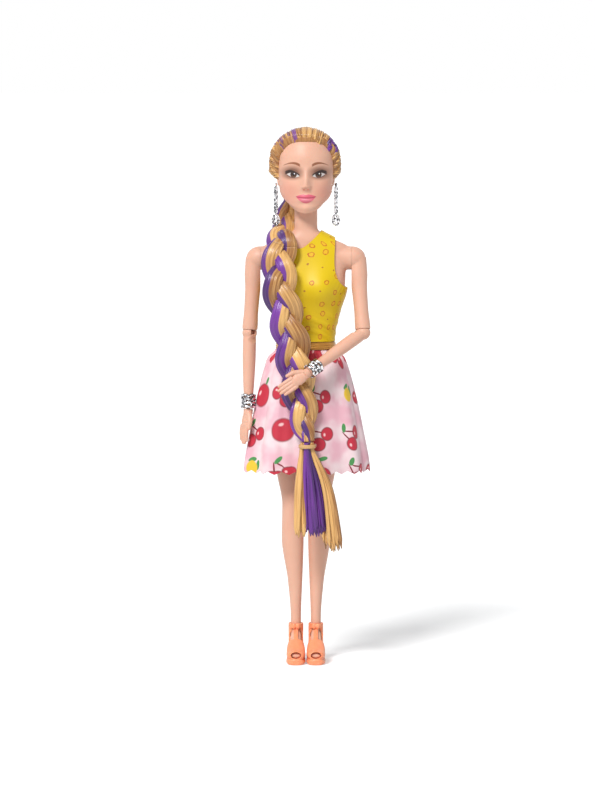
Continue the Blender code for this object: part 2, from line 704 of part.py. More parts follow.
def hair_solid(extra=0.0):
    """The combed hair as a thick cap that still fills the head under it."""
    angles = [2 * math.pi * i / HAIR_SIDES for i in range(HAIR_SIDES)]
    rings = []
    for rise in HAIR_ROW_SHARES:
        ring = []
        for angle in angles:
            start = hairline_share(angle)
            share = start + (1.0 - start) * rise
            groove = 1.0 + 0.10 * math.cos(angle * 11) * (1.0 - rise)
            height = head_point(angle, share).z
            ring.append(head_point(angle, share, hair_thickness(angle, rise, height) * groove + extra))
        rings.append(ring)
    for rise in (0.0, 0.4, 1.0):
        ring = []
        for angle in angles:
            start = hairline_share(angle)
            ring.append(head_point(angle, start + (1.0 - start) * rise, -HEAD_WALL))
        rings.append(ring)
    return loft("hair", rings)


def make_hair_cap(hair):
    cap = hair_solid()
    combine(cap, [loft("head", head_rings(FIT_GAP * 1.2))] + ear_solids(FIT_GAP * 1.5), "DIFFERENCE")
    finish(cap, "hair_cap", hair, Vector((0, NECK_SETBACK, NOD_HEIGHT)), 60)


def smooth_path(points, steps):
    """Points along a smooth curve through the route's own points."""
    out = []
    for i in range(len(points) - 1):
        p0 = points[max(i - 1, 0)]
        p1 = points[i]
        p2 = points[i + 1]
        p3 = points[min(i + 2, len(points) - 1)]
        for k in range(steps):
            t = k / steps
            out.append(0.5 * ((2 * p1) + (p2 - p0) * t + (2 * p0 - 5 * p1 + 4 * p2 - p3) * t * t
                              + (3 * p1 - p0 - 3 * p2 + p3) * t * t * t))
    out.append(points[-1].copy())
    return out


# The hair's route from the nape over the right shoulder to the tail's end
CHEST_HAIR_Y = -(BUST_FRONT + BUST_SWELL + CLOTH_THICKNESS + BRAID_HALF_DEPTH + FIT_GAP * 3)
SKIRT_HAIR_Y = -(SKIRT_HEM_HALF_DEPTH + SKIRT_FOLD_DEPTH + CLOTH_THICKNESS + BRAID_HALF_DEPTH)
NAPE_X = -0.0085
NAPE_Y = 0.0135
NAPE_HAIR_RISE = 0.0005
NAPE_Z = NAPE_HEIGHT + NAPE_HAIR_RISE
SHOULDER_CROSSING_X = -0.0142
BRAID_TOP_RISE = 0.0015
BRAID_TOP_HEIGHT = SHOULDER_TOP_HEIGHT + BRAID_TOP_RISE
BRAID_CHEST_X = -0.0150
BRAID_WAIST_X = -0.0082
BRAID_END_X = 0.0006
TAIL_MID_X = 0.0062
TAIL_END_X = 0.0104
BRAID_END_RISE = 0.0192
BRAID_END_HEIGHT = SKIRT_HEM_HEIGHT + BRAID_END_RISE
TAIL_LENGTH = 0.0600
TAIL_END_HEIGHT = BRAID_END_HEIGHT - TAIL_LENGTH


def ponytail_route():
    rise = SHOULDER_TOP_HEIGHT + PONYTAIL_HALF_DEPTH
    return [
        Vector((NAPE_X, NAPE_Y, NAPE_Z)),
        Vector((SHOULDER_CROSSING_X * 0.85, NAPE_Y * 0.85, NAPE_Z - PONYTAIL_HALF_WIDTH * 1.6)),
        Vector((SHOULDER_CROSSING_X, NAPE_Y * 0.25, rise + PONYTAIL_HALF_DEPTH * 1.35)),
        Vector((SHOULDER_CROSSING_X, -SHOULDER_FRONT * 0.95, rise + PONYTAIL_HALF_DEPTH * 0.4)),
        Vector((SHOULDER_CROSSING_X, -SHOULDER_FRONT - BRAID_HALF_DEPTH * 1.2,
                BRAID_TOP_HEIGHT - PONYTAIL_HALF_DEPTH * 0.6)),
    ]


def make_ponytail(hair):
    path = smooth_path(ponytail_route(), 3)
    stations = []
    for index, centre in enumerate(path):
        ease = index / (len(path) - 1)
        half = PONYTAIL_HALF_WIDTH * (0.72 + 0.28 * min(1.0, ease * 3))
        stations.append((centre, half, PONYTAIL_HALF_DEPTH))
    tail = tube("ponytail", stations, LIMB_SIDES)
    reach = OVERRUN * 2
    below = block("below", (-reach, -reach, BRAID_TOP_HEIGHT - OVERRUN),
                  (reach, -SHOULDER_FRONT, BRAID_TOP_HEIGHT + FIT_GAP))
    combine(tail, [below, hair_solid(FIT_GAP * 1.8), loft("head", head_rings(FIT_GAP)), torso_skin(FIT_GAP)],
            "DIFFERENCE")
    finish(tail, "gathered_hair", hair, path[0], 60)


def braid_route():
    return [
        Vector((SHOULDER_CROSSING_X, -SHOULDER_FRONT - BRAID_HALF_DEPTH * 1.2, BRAID_TOP_HEIGHT)),
        Vector((BRAID_CHEST_X, CHEST_HAIR_Y * 0.86, ARMPIT_HEIGHT)),
        Vector((BRAID_CHEST_X * 0.95, CHEST_HAIR_Y, BUST_HEIGHT)),
        Vector((BRAID_WAIST_X, CHEST_HAIR_Y, WAIST_HEIGHT)),
        Vector((BRAID_WAIST_X * 0.6, CHEST_HAIR_Y * 1.03, HIP_LINE_HEIGHT)),
        Vector((BRAID_END_X, SKIRT_HAIR_Y, BRAID_END_HEIGHT)),
    ]


def along(path, share):
    place = share * (len(path) - 1)
    k = min(int(place), len(path) - 2)
    t = place - k
    return path[k].lerp(path[k + 1], t), (path[k + 1] - path[k]).normalized()


BRAID_WIDTH_SHARES = [(0.0, 0.80), (0.12, 0.90), (0.45, 0.95), (0.62, 1.05), (0.8, 0.95), (0.93, 0.78),
                      (1.0, 0.45)]


def make_braid(hair, band):
    path = smooth_path(braid_route(), 8)
    lobes = []
    for index in range(BRAID_LOBE_COUNT):
        share = (index + 0.6) / (BRAID_LOBE_COUNT + 0.2)
        centre, direction = along(path, share)
        width = smooth_between(BRAID_WIDTH_SHARES, share)[0]
        sign = 1 if index % 2 else -1
        side, across = frame_along(direction)
        lean = (direction * 0.86 - side * sign * 0.5).normalized()
        lean_side, lean_across = frame_along(lean, side)
        turn = Matrix((lean_side, lean_across, lean)).transposed()
        middle = centre + side * (sign * (BRAID_HALF_WIDTH - BRAID_LOBE_HALF_WIDTH) * width)
        radii = (BRAID_LOBE_HALF_WIDTH * width, BRAID_HALF_DEPTH * (0.75 + 0.25 * width),
                 BRAID_LOBE_LENGTH * width)
        lobes.append(ball("lobe", middle, radii, SMALL_SIDES, turn))
    core_stations = []
    for share in (0.03, 0.2, 0.4, 0.6, 0.8, 1.0):
        centre, direction = along(path, share)
        width = smooth_between(BRAID_WIDTH_SHARES, share)[0]
        core_stations.append((centre, BRAID_HALF_WIDTH * width * 0.55, BRAID_HALF_DEPTH * 0.6))
    braid = tube("core", core_stations, SMALL_SIDES)
    combine(braid, lobes, "UNION")
    clear_top = block("clear", (-OVERRUN * 2, -OVERRUN * 2, BRAID_TOP_HEIGHT),
                      (OVERRUN * 2, OVERRUN * 2, BRAID_TOP_HEIGHT + OVERRUN))
    clear_low = block("clear", (-OVERRUN * 2, -OVERRUN * 2, BRAID_END_HEIGHT - OVERRUN),
                      (OVERRUN * 2, OVERRUN * 2, BRAID_END_HEIGHT))
    combine(braid, [clear_top, clear_low], "DIFFERENCE")
    finish(braid, "braid", hair, path[0], 60)
    end = path[-1]
    ring_radius = TAIL_TOP_HALF_WIDTH + HAIR_BAND_TUBE + FIT_GAP * 2
    low = end - Vector((0, 0, FIT_GAP + HAIR_BAND_TUBE * 2.4))
    finish(band_ring("tie", low, Vector((0, 0, 1)), ring_radius,
                     TAIL_HALF_DEPTH + HAIR_BAND_TUBE + FIT_GAP, HAIR_BAND_TUBE), "braid_band", band, low)


def band_ring(name, centre, axis, half_side, half_across, tube_radius, sides=16):
    """Closed ring of round section about an axis."""
    side, across = frame_along(axis)
    rings = []
    for i in range(sides):
        angle = 2 * math.pi * i / sides
        outward = side * math.cos(angle) + across * math.sin(angle)
        middle = centre + side * (half_side * math.cos(angle)) + across * (half_across * math.sin(angle))
        rings.append([middle + outward * (tube_radius * math.cos(2 * math.pi * k / 6))
                      + axis * (tube_radius * math.sin(2 * math.pi * k / 6)) for k in range(6)])
    return loft(name, rings, closed=True)


TAIL_SHARES = [
    # way down, half width, depth
    (0.0, 0.32, 1.0),
    (0.09, 0.32, 1.0),
    (0.30, 0.72, 1.0),
    (0.60, 1.00, 0.95),
    (0.85, 0.90, 0.8),
    (1.0, 0.45, 0.5),
]


def make_tail(hair):
    top = BRAID_END_HEIGHT - FIT_GAP
    start = Vector((BRAID_END_X, SKIRT_HAIR_Y, top))
    middle = Vector((TAIL_MID_X, SKIRT_HAIR_Y, (top + TAIL_END_HEIGHT) / 2))
    end = Vector((TAIL_END_X, SKIRT_HAIR_Y, TAIL_END_HEIGHT))
    neck = start - Vector((0, 0, HAIR_BAND_TUBE * 5))
    path = smooth_path([start, neck, middle, end], 4)
    rings = []
    for centre in path:
        share = (top - centre.z) / (top - TAIL_END_HEIGHT)
        half_width, depth = smooth_between(TAIL_SHARES, share)
        ring = []
        for i in range(20):
            angle = 2 * math.pi * i / 20
            ripple = 1.0 + 0.16 * share * math.cos(angle * 5)
            ring.append(centre + Vector((TAIL_HALF_WIDTH * half_width * math.cos(angle),
                                         TAIL_HALF_DEPTH * depth * ripple * math.sin(angle), 0)))
        rings.append(ring)
    tail = loft("tail", rings)
    finish(tail, "hair_tail", hair, start, 60)


# Arms
def arm_places(sign):
    elbow_step = LEFT_ELBOW_FROM_SHOULDER if sign > 0 else RIGHT_ELBOW_FROM_SHOULDER
    wrist_step = LEFT_WRIST_FROM_ELBOW if sign > 0 else RIGHT_WRIST_FROM_ELBOW
    shoulder = shoulder_centre(sign)
    elbow = shoulder + Vector(elbow_step)
    wrist = elbow + Vector(wrist_step)
    return shoulder, elbow, wrist


def make_arm(sign, side_name, skin, silver):
    shoulder, elbow, wrist = arm_places(sign)
    top = shoulder + Vector((sign * (FIT_GAP + SHOULDER_PEG_SINK), 0, 0))
    down = (elbow - top).normalized()
    fore = (wrist - elbow).normalized()
    hinge = down.cross(fore).normalized()
    seam_x = ARM_SEAM + FIT_GAP

    dome = ball("dome", Vector((sign * seam_x, 0, shoulder.z)),
                (SHOULDER_DOME_REACH, SHOULDER_DISC_RADIUS, SHOULDER_DISC_RADIUS), LIMB_SIDES)
    rim = elbow - down * ELBOW_RIM_RISE
    upper_length = (rim - top).length
    stations = []
    for share, radius in ((0.0, UPPER_ARM_TOP_RADIUS), (0.2, UPPER_ARM_TOP_RADIUS),
                          (0.45, UPPER_ARM_RADIUS), (0.75, UPPER_ARM_RADIUS),
                          (0.92, ELBOW_RIM_RADIUS), (1.0, ELBOW_RIM_RADIUS)):
        stations.append((top + down * (upper_length * share), radius, radius))
    upper = tube("upper", stations)
    combine(upper, [dome], "UNION")
    reach = ARM_SEAM + OVERRUN
    inner_low = min(sign * seam_x, -sign * reach)
    inner_high = max(sign * seam_x, -sign * reach)
    inner_side = block("inner", (inner_low, -OVERRUN, shoulder.z - OVERRUN * 2),
                       (inner_high, OVERRUN, shoulder.z + OVERRUN))
    peg_end = Vector((sign * (seam_x + SHOULDER_PEG_SINK + FIT_GAP), 0, shoulder.z))
    peg_hole = rod("hole", shoulder, peg_end, SHOULDER_PEG_RADIUS + FIT_GAP)
    dish = ball("dish", elbow, [ELBOW_BALL_RADIUS + FIT_GAP] * 3)
    stem_hole = rod("stem_hole", elbow, elbow - down * (ELBOW_STEM_LENGTH + FIT_GAP),
                    ELBOW_STEM_RADIUS + FIT_GAP)
    combine(upper, [inner_side, peg_hole, dish, stem_hole], "DIFFERENCE")
    finish(upper, "upper_arm_" + side_name, skin, shoulder)

    head_in = Vector((sign * (ARM_SEAM - PLASTIC_WALL - FIT_GAP), 0, shoulder.z))
    head_end = head_in - Vector((sign * SHOULDER_PEG_HEAD_THICKNESS, 0, 0))
    shaft_end = Vector((sign * (seam_x + SHOULDER_PEG_SINK), 0, shoulder.z))
    peg = rod("peg", head_end, shaft_end, SHOULDER_PEG_RADIUS)
    combine(peg, [rod("head", head_end, head_in, SHOULDER_PEG_HEAD_RADIUS)], "UNION")
    finish(peg, "shoulder_peg_" + side_name, skin, shoulder)

    eye_half = hinge * (ELBOW_EYE_THICKNESS / 2)
    elbow_peg = rod("eye", elbow - eye_half, elbow + eye_half, ELBOW_EYE_RADIUS, 12)
    combine(elbow_peg, [rod("stem", elbow, elbow - down * ELBOW_STEM_LENGTH, ELBOW_STEM_RADIUS),
                        elbow_axle(elbow, hinge, 0.0)], "UNION")
    finish(elbow_peg, "elbow_peg_" + side_name, skin, elbow)

    fore_length = (wrist - elbow).length
    stations = []
    for share, radius in ((0.0, FOREARM_RADIUS * 0.9), (0.12, FOREARM_RADIUS), (0.3, FOREARM_RADIUS),
                          (0.62, (FOREARM_RADIUS + WRIST_RADIUS) / 2), (0.85, WRIST_RADIUS),
                          (1.0, WRIST_RADIUS)):
        stations.append((elbow + fore * (fore_length * share), radius, radius))
    forearm = tube("forearm", stations)
    combine(forearm, [ball("elbow_ball", elbow, [ELBOW_BALL_RADIUS] * 3)], "UNION")
    inner = (-down - fore * (-down).dot(fore)).normalized()
    notch_start = elbow + fore * ELBOW_BALL_RADIUS + inner * (FOREARM_RADIUS + ELBOW_RELIEF * 0.9)
    notch = rod("notch", notch_start - hinge * OVERRUN / 2, notch_start + hinge * OVERRUN / 2,
                ELBOW_RELIEF * 1.6)
    wrist_hole = rod("wrist_hole", wrist + fore * FIT_GAP, wrist - fore * (WRIST_PEG_LENGTH + FIT_GAP),
                     WRIST_PEG_RADIUS + FIT_GAP)
    axle_hole = elbow_axle(elbow, hinge, FIT_GAP)
    combine(forearm, [elbow_slot(elbow, hinge, fore), axle_hole, notch, wrist_hole], "DIFFERENCE")
    finish(forearm, "forearm_" + side_name, skin, elbow)

    make_hand(sign, side_name, wrist, fore, skin)
    make_bangles(side_name, wrist, fore, silver)


def elbow_axle(elbow, hinge, clearance):
    half = hinge * (ELBOW_AXLE_HALF_LENGTH + clearance)
    return rod("axle", elbow - half, elbow + half, ELBOW_AXLE_RADIUS + clearance)


def elbow_slot(elbow, hinge, fore):
    """Slot for the peg's eye, open on the side that the stem sweeps."""
    width = ELBOW_STEM_RADIUS + FIT_GAP
    radius = ELBOW_EYE_RADIUS + FIT_GAP
    far = ELBOW_BALL_RADIUS + ELBOW_RIM_RISE
    arcs = [(angle, far) for angle in range(-ELBOW_SLOT_MARGIN, ELBOW_SWEEP + ELBOW_SLOT_MARGIN + 1, 19)]
    arcs += [(arcs[-1][0] + step, radius) for step in (0, 45, 90, 135)]
    outline = [elbow + Matrix.Rotation(math.radians(-angle), 3, hinge) @ (-fore) * reach
               for angle, reach in arcs]
    near = [point - hinge * width for point in outline]
    away = [point + hinge * width for point in outline]
    return loft("slot", [near, away])


FINGER_PLACE_SHARES = (-0.72, -0.24, 0.24, 0.72)
FINGER_LENGTH_SHARES = (0.82, 0.98, 1.0, 0.86)
FINGER_STRAIGHT_SHARE = 0.97
FINGER_CURL_SHARE = 0.14
FINGER_SPREAD_SHARE = 0.14


def make_hand(sign, side_name, wrist, fore, skin):
    """A palm with four fingers and a thumb, bent a little at the wrist; it faces the body."""
    start = wrist + fore * FIT_GAP
    arm_line = fore
    fore = Vector(LEFT_HAND_LINE if sign > 0 else RIGHT_HAND_LINE).normalized()
    across = Vector(LEFT_THUMB_LINE if sign > 0 else RIGHT_THUMB_LINE)
    across = (across - fore * across.dot(fore)).normalized()
    flat = fore.cross(across).normalized()
    rings = []
    for share, half, depth in ((0.0, 0.72, 1.15), (0.25, 0.85, 1.1), (0.6, 1.0, 1.0), (1.0, 0.95, 0.8)):
        way = arm_line if share == 0.0 else fore
        side, depthways = frame_along(way, across)
        rings.append(oval_ring(start + fore * (PALM_LENGTH * share), side, depthways,
                               PALM_HALF_WIDTH * half, PALM_HALF_DEPTH * depth, 12))
    hand = loft("hand", rings)
    pieces = []
    root = start + fore * (PALM_LENGTH * 0.9)
    curl = flat * sign
    for place, length in zip(FINGER_PLACE_SHARES, FINGER_LENGTH_SHARES):
        base = root + across * (PALM_HALF_WIDTH * place)
        reach = FINGER_LENGTH * length
        knuckle = base + fore * (reach / 2) + across * (PALM_HALF_WIDTH * place * FINGER_SPREAD_SHARE / 2)
        tip = (base + fore * (reach * FINGER_STRAIGHT_SHARE) + curl * (reach * FINGER_CURL_SHARE)
               + across * (PALM_HALF_WIDTH * place * FINGER_SPREAD_SHARE))
        pieces.append(tube("finger", [(base, FINGER_RADIUS, FINGER_RADIUS),
                                      (knuckle, FINGER_RADIUS, FINGER_RADIUS),
                                      (tip, FINGER_RADIUS * 0.7, FINGER_RADIUS * 0.7)], 6))
    thumb_base = start + fore * (PALM_LENGTH * 0.3) + across * (PALM_HALF_WIDTH * 0.6)
    thumb_mid = thumb_base + fore * (THUMB_LENGTH * 0.5) + across * (THUMB_LENGTH * 0.28)
    thumb_tip = thumb_base + fore * (THUMB_LENGTH * 0.95) + across * (THUMB_LENGTH * 0.36)
    pieces.append(tube("thumb", [(thumb_base, FINGER_RADIUS * 1.3, FINGER_RADIUS * 1.3),
                                 (thumb_mid, FINGER_RADIUS * 1.2, FINGER_RADIUS * 1.2),
                                 (thumb_tip, FINGER_RADIUS * 0.8, FINGER_RADIUS * 0.8)], 6))
    combine(hand, pieces, "UNION")
    peg_end = start + arm_line * (WRIST_PEG_LENGTH / 3)
    peg_hole = rod("hole", wrist, peg_end + arm_line * FIT_GAP, WRIST_PEG_RADIUS + FIT_GAP)
    combine(hand, [peg_hole], "DIFFERENCE")
    finish(hand, "hand_" + side_name, skin, wrist)
    peg = rod("peg", wrist - arm_line * WRIST_PEG_LENGTH, peg_end, WRIST_PEG_RADIUS)
    finish(peg, "wrist_peg_" + side_name, skin, wrist)


def make_bangles(side_name, wrist, fore, silver):
    """Stacked silver bangles that turn on the wrist as one piece."""
    inner = WRIST_RADIUS + FIT_GAP
    start = wrist - fore * (BANGLE_WIDTH + FIT_GAP)
    side, across = frame_along(fore)
    rings = []
    steps = BANGLE_RIB_COUNT * 2
    for step in range(steps + 1):
        share = step / steps
        rib = abs(math.sin(math.pi * share * BANGLE_RIB_COUNT))
        radius = inner + BANGLE_WALL * (0.45 + 0.55 * rib)
        centre = start + fore * (BANGLE_WIDTH * share)
        rings.append(oval_ring(centre, side, across, radius, radius, LIMB_SIDES))
    for share in (1.0, 0.0):
        centre = start + fore * (BANGLE_WIDTH * share)
        rings.append(oval_ring(centre, side, across, inner, inner, LIMB_SIDES))
    bangles = loft("bangles", rings, closed=True)
    finish(bangles, "bangles_" + side_name, silver, wrist - fore * (BANGLE_WIDTH / 2))


# Legs and shoes
def leg_levels(sign, extra):
    """Stations down the leg as (height, x, y, half width, half depth)."""
    heights = [
        (ANKLE_HEIGHT - ANKLE_HALF_WIDTH * 3, FOOT_SPACING, ANKLE_SETBACK * 1.25,
         ANKLE_HALF_WIDTH, ANKLE_HALF_DEPTH * 0.9),
        (ANKLE_HEIGHT, FOOT_SPACING, ANKLE_SETBACK, ANKLE_HALF_WIDTH, ANKLE_HALF_DEPTH),
        (SHIN_HEIGHT, SHIN_SPACING, ANKLE_SETBACK * 0.9, SHIN_HALF_WIDTH, SHIN_HALF_DEPTH),
        (CALF_HEIGHT, CALF_SPACING, ANKLE_SETBACK * 0.8, CALF_HALF_WIDTH, CALF_HALF_DEPTH),
        (KNEE_HEIGHT, KNEE_SPACING, LEG_SETBACK, KNEE_HALF_WIDTH, KNEE_HALF_DEPTH),
        (THIGH_HEIGHT, THIGH_SPACING, LEG_SETBACK, THIGH_HALF_WIDTH, THIGH_HALF_DEPTH),
        (HIP_JOINT_HEIGHT, HIP_JOINT_SPACING, LEG_SETBACK, HIP_BALL_RADIUS * 0.98,
         HIP_BALL_RADIUS * 0.98),
    ]
    return [(z, sign * x, y, half + extra, depth + extra) for z, x, y, half, depth in heights]


def leg_rings(sign, low, high, steps, extra):
    levels = leg_levels(sign, extra)
    rings = []
    for z in heights_between(low, high, steps):
        x, y, half, depth = smooth_between(levels, z)
        rings.append(oval_ring(Vector((x, y, z)), Vector((1, 0, 0)), Vector((0, 1, 0)), half, depth,
                               LIMB_SIDES))
    return rings


FOOT_SHARES = [
    # way from heel to toe, half width from heel to ball, height along the slope, half height
    (0.0, 0.55, 1.00, 0.50),
    (0.10, 0.92, 0.98, 0.95),
    (0.28, 1.00, 0.92, 1.05),
    (0.50, 1.10, 0.56, 0.95),
    (0.72, 1.34, 0.20, 0.76),
    (0.88, 1.30, 0.02, 0.58),
    (0.97, 1.00, 0.00, 0.46),
    (1.0, 0.62, 0.00, 0.26),
]


def foot_loft(sign, extra):
    rings = []
    for share, half, rise, half_height in FOOT_SHARES:
        y = HEEL_REACH + extra - (HEEL_REACH + TOE_REACH + 2 * extra) * share
        z = TOE_CENTRE_HEIGHT + (HEEL_CENTRE_HEIGHT - TOE_CENTRE_HEIGHT) * rise
        centre = Vector((sign * FOOT_SPACING, y, z))
        rings.append(oval_ring(centre, Vector((1, 0, 0)), Vector((0, 0, 1)),
                               HEEL_HALF_WIDTH * half + extra, FOOT_HALF_HEIGHT * half_height + extra,
                               LIMB_SIDES))
    return loft("foot", rings)


def leg_solid(sign, extra, low, high, steps):
    leg = loft("leg", leg_rings(sign, low, high, steps, extra))
    combine(leg, [foot_loft(sign, extra)], "UNION")
    return leg


def make_leg(sign, side_name, skin):
    hip = hip_centre(sign)
    low = ANKLE_HEIGHT - ANKLE_HALF_WIDTH * 2.6
    leg = leg_solid(sign, 0.0, low, HIP_JOINT_HEIGHT, 13)
    combine(leg, [ball("hip_ball", hip, [HIP_BALL_RADIUS] * 3)], "UNION")
    socket = ball("socket", hip, [HIP_PEG_BALL_RADIUS + FIT_GAP] * 3, SMALL_SIDES)
    inward = Vector((-sign, 0, 0))
    mouth = tube("mouth", [(hip, HIP_PEG_STEM_RADIUS, HIP_PEG_STEM_RADIUS),
                           (hip + inward * (HIP_BALL_RADIUS + FIT_GAP), HIP_BALL_RADIUS * 0.62,
                            HIP_BALL_RADIUS * 0.62)], SMALL_SIDES, Vector((0, 0, 1)))
    combine(leg, [socket, mouth], "DIFFERENCE")
    finish(leg, "leg_" + side_name, skin, hip)
    peg = ball("peg", hip, [HIP_PEG_BALL_RADIUS] * 3, SMALL_SIDES)
    stem_end = Vector((sign * HIP_PEG_INNER, hip.y, hip.z))
    combine(peg, [rod("stem", hip, stem_end, HIP_PEG_STEM_RADIUS)], "UNION")
    finish(peg, "hip_peg_" + side_name, skin, hip)


SOLE_SHARES = [
    # way from heel to toe, half width, bottom, top
    (0.0, 0.60, 0.00, 1.0),
    (0.04, 0.80, 0.00, 1.0),
    (0.20, 0.80, 0.00, 1.0),
    (0.24, 0.78, 0.55, 1.0),
    (0.42, 0.80, 0.40, 0.72),
    (0.60, 0.92, 0.00, 0.32),
    (0.78, 1.00, 0.00, 0.00),
    (0.93, 0.88, 0.00, 0.00),
    (0.98, 0.66, 0.00, 0.00),
    (1.0, 0.40, 0.00, 0.00),
]


def sole_solid(sign):
    """Platform, shank and heel in one, as boxes with rounded corners along the foot."""
    back = HEEL_REACH + SHOE_WALL + FIT_GAP * 2
    length = back + TOE_REACH + SHOE_WALL + FIT_GAP * 2
    seat = HEEL_CENTRE_HEIGHT - FOOT_HALF_HEIGHT * 0.6
    rings = []
    for share, half, bottom, top in SOLE_SHARES:
        y = back - length * share
        low = (seat - PLATFORM_HEIGHT) * bottom
        high = PLATFORM_HEIGHT + (seat - PLATFORM_HEIGHT) * top
        x = SOLE_HALF_WIDTH * half
        corner = PLATFORM_HEIGHT * 0.18
        outline = [(-x + corner, low), (x - corner, low), (x, low + corner), (x, high - corner),
                   (x - corner, high), (-x + corner, high), (-x, high - corner), (-x, low + corner)]
        rings.append([Vector((sign * FOOT_SPACING + px, y, pz)) for px, pz in outline])
    return loft("sole", rings)


def make_shoe(sign, side_name, shoe_material):
    low = ANKLE_HEIGHT - ANKLE_HALF_WIDTH * 2.9
    high = ANKLE_HEIGHT + OVERRUN / 2
    skin_out = SHOE_WALL + FIT_GAP
    upper = leg_solid(sign, skin_out, low, high, 4)
    x = sign * FOOT_SPACING
    reach = OVERRUN / 2
    strap_low = ANKLE_HEIGHT - ANKLE_STRAP_WIDTH
    toe_line = -TOE_REACH * 0.40
    heel_line = HEEL_REACH * 0.15
    regions = block("toes", (x - reach, -OVERRUN, -FIT_GAP), (x + reach, toe_line, strap_low))
    t_bar = block("t_bar", (x - T_BAR_HALF_WIDTH, -OVERRUN, TOE_CENTRE_HEIGHT),
                  (x + T_BAR_HALF_WIDTH, ANKLE_SETBACK, ANKLE_HEIGHT - FIT_GAP))
    strap = block("strap", (x - reach, -OVERRUN / 3, strap_low), (x + reach, OVERRUN, ANKLE_HEIGHT))
    counter = block("counter", (x - reach, heel_line, -FIT_GAP), (x + reach, OVERRUN, strap_low + FIT_GAP))
    combine(regions, [t_bar, strap, counter], "UNION")
    combine(upper, [regions], "INTERSECT")
    shoe = sole_solid(sign)
    combine(shoe, [upper], "UNION")
    foot = leg_solid(sign, FIT_GAP, low - FIT_GAP, high + FIT_GAP, 4)
    peep = ball("peep", Vector((x, -TOE_REACH - SHOE_WALL, TOE_CENTRE_HEIGHT + FIT_GAP)),
                (PEEP_HALF_WIDTH, SHOE_WALL * 4, PEEP_HALF_HEIGHT), SMALL_SIDES)
    combine(shoe, [foot, peep], "DIFFERENCE")
    finish(shoe, "shoe_" + side_name, shoe_material, Vector((x, 0, 0)))


# Clothes
def cloth_tube(name, heights, inside, thickness, sides=BODY_SIDES):
    rings = [torso_ring(z, inside + thickness, sides) for z in heights]
    rings += [torso_ring(z, inside, sides) for z in reversed(heights)]
    return loft(name, rings, closed=True)


def make_bodice(yellow, strip):
    between = [z for z in TORSO_ROW_HEIGHTS if BODICE_BOTTOM_HEIGHT < z < BODICE_TOP_HEIGHT]
    bodice = cloth_tube("bodice", [BODICE_BOTTOM_HEIGHT] + between + [BODICE_TOP_HEIGHT],
                        -PLASTIC_WALL / 2, PLASTIC_WALL / 2 + FIT_GAP * 1.7 + CLOTH_THICKNESS)
    combine(bodice, [torso_skin(FIT_GAP * 1.7)], "DIFFERENCE")
    far = ARM_SEAM + OVERRUN
    high = NECK_TOP_HEIGHT
    armhole = [(STRAP_OUTER, high), (STRAP_OUTER, ARMPIT_HEIGHT),
               ((STRAP_OUTER + BUST_HALF_WIDTH) / 2, (ARMPIT_HEIGHT + BUST_HEIGHT) / 2),
               (BUST_HALF_WIDTH, BUST_HEIGHT), (far, BUST_HEIGHT), (far, high)]
    neckline = [(-far, high), (-far, BUST_HEIGHT + CLOTH_THICKNESS),
                (-BUST_HALF_WIDTH * 1.05, BUST_HEIGHT + CLOTH_THICKNESS),
                (-ARMPIT_HALF_WIDTH * 0.72, ARMPIT_HEIGHT),
                (-STRAP_INNER * 0.9, NECKLINE_LOW_HEIGHT), (-STRAP_INNER * 0.2, NECKLINE_LOW_HEIGHT),
                (STRAP_INNER, BODICE_TOP_HEIGHT), (STRAP_INNER, high)]
    combine(bodice, [front_prism("armhole", armhole), front_prism("neckline", neckline)], "DIFFERENCE")
    finish(bodice, "bodice", yellow, Vector((0, 0, WAIST_HEIGHT)), 60)
    outer = FIT_GAP * 1.4 + CLOTH_THICKNESS + FIT_GAP
    back_strip("bodice_closure", BODICE_BOTTOM_HEIGHT + CLOTH_THICKNESS, ARMPIT_HEIGHT, outer, strip)


def back_strip(name, low, high, inside, material):
    """Flat closure strip that follows the back's curve."""
    half = CLOSURE_WIDTH / 2
    rings = []
    for z in heights_between(low, high, 8):
        middle = torso_offset(math.pi / 2, z, inside)
        ring = []
        for side_share, out in ((-1, 0), (-0.4, 0), (0.4, 0), (1, 0), (1, 1), (0.4, 1), (-0.4, 1), (-1, 1)):
            sink = FIT_GAP if abs(side_share) == 1 else 0.0
            ring.append(middle + Vector((half * side_share, CLOSURE_THICKNESS * out + FIT_GAP - sink, 0)))
        rings.append(ring)
    finish(loft(name, rings), name, material, Vector((0, 0, low)))


def make_belt(gold):
    low = SKIRT_TOP_HEIGHT + FIT_GAP
    sides = 36
    rings = []
    inside = FIT_GAP * 1.4
    for share, swell in ((0.0, 0.4), (0.5, 1.0), (1.0, 0.4)):
        ring = []
        for i in range(sides):
            angle = 2 * math.pi * i / sides
            gather = 1.0 - 0.22 * (i % 2)
            ring.append(torso_offset(angle, low + BELT_WIDTH * share,
                                     inside + BELT_THICKNESS * swell * gather))
        rings.append(ring)
    for share in (1.0, 0.0):
        rings.append(torso_ring(low + BELT_WIDTH * share, inside, sides))
    finish(loft("belt", rings, closed=True), "belt_band", gold, Vector((0, 0, low)))


SKIRT_SHARES = [
    # way down, flare
    (0.0, 0.0),
    (0.07, 0.25),
    (0.33, 0.55),
    (0.65, 0.80),
    (1.0, 1.0),
]


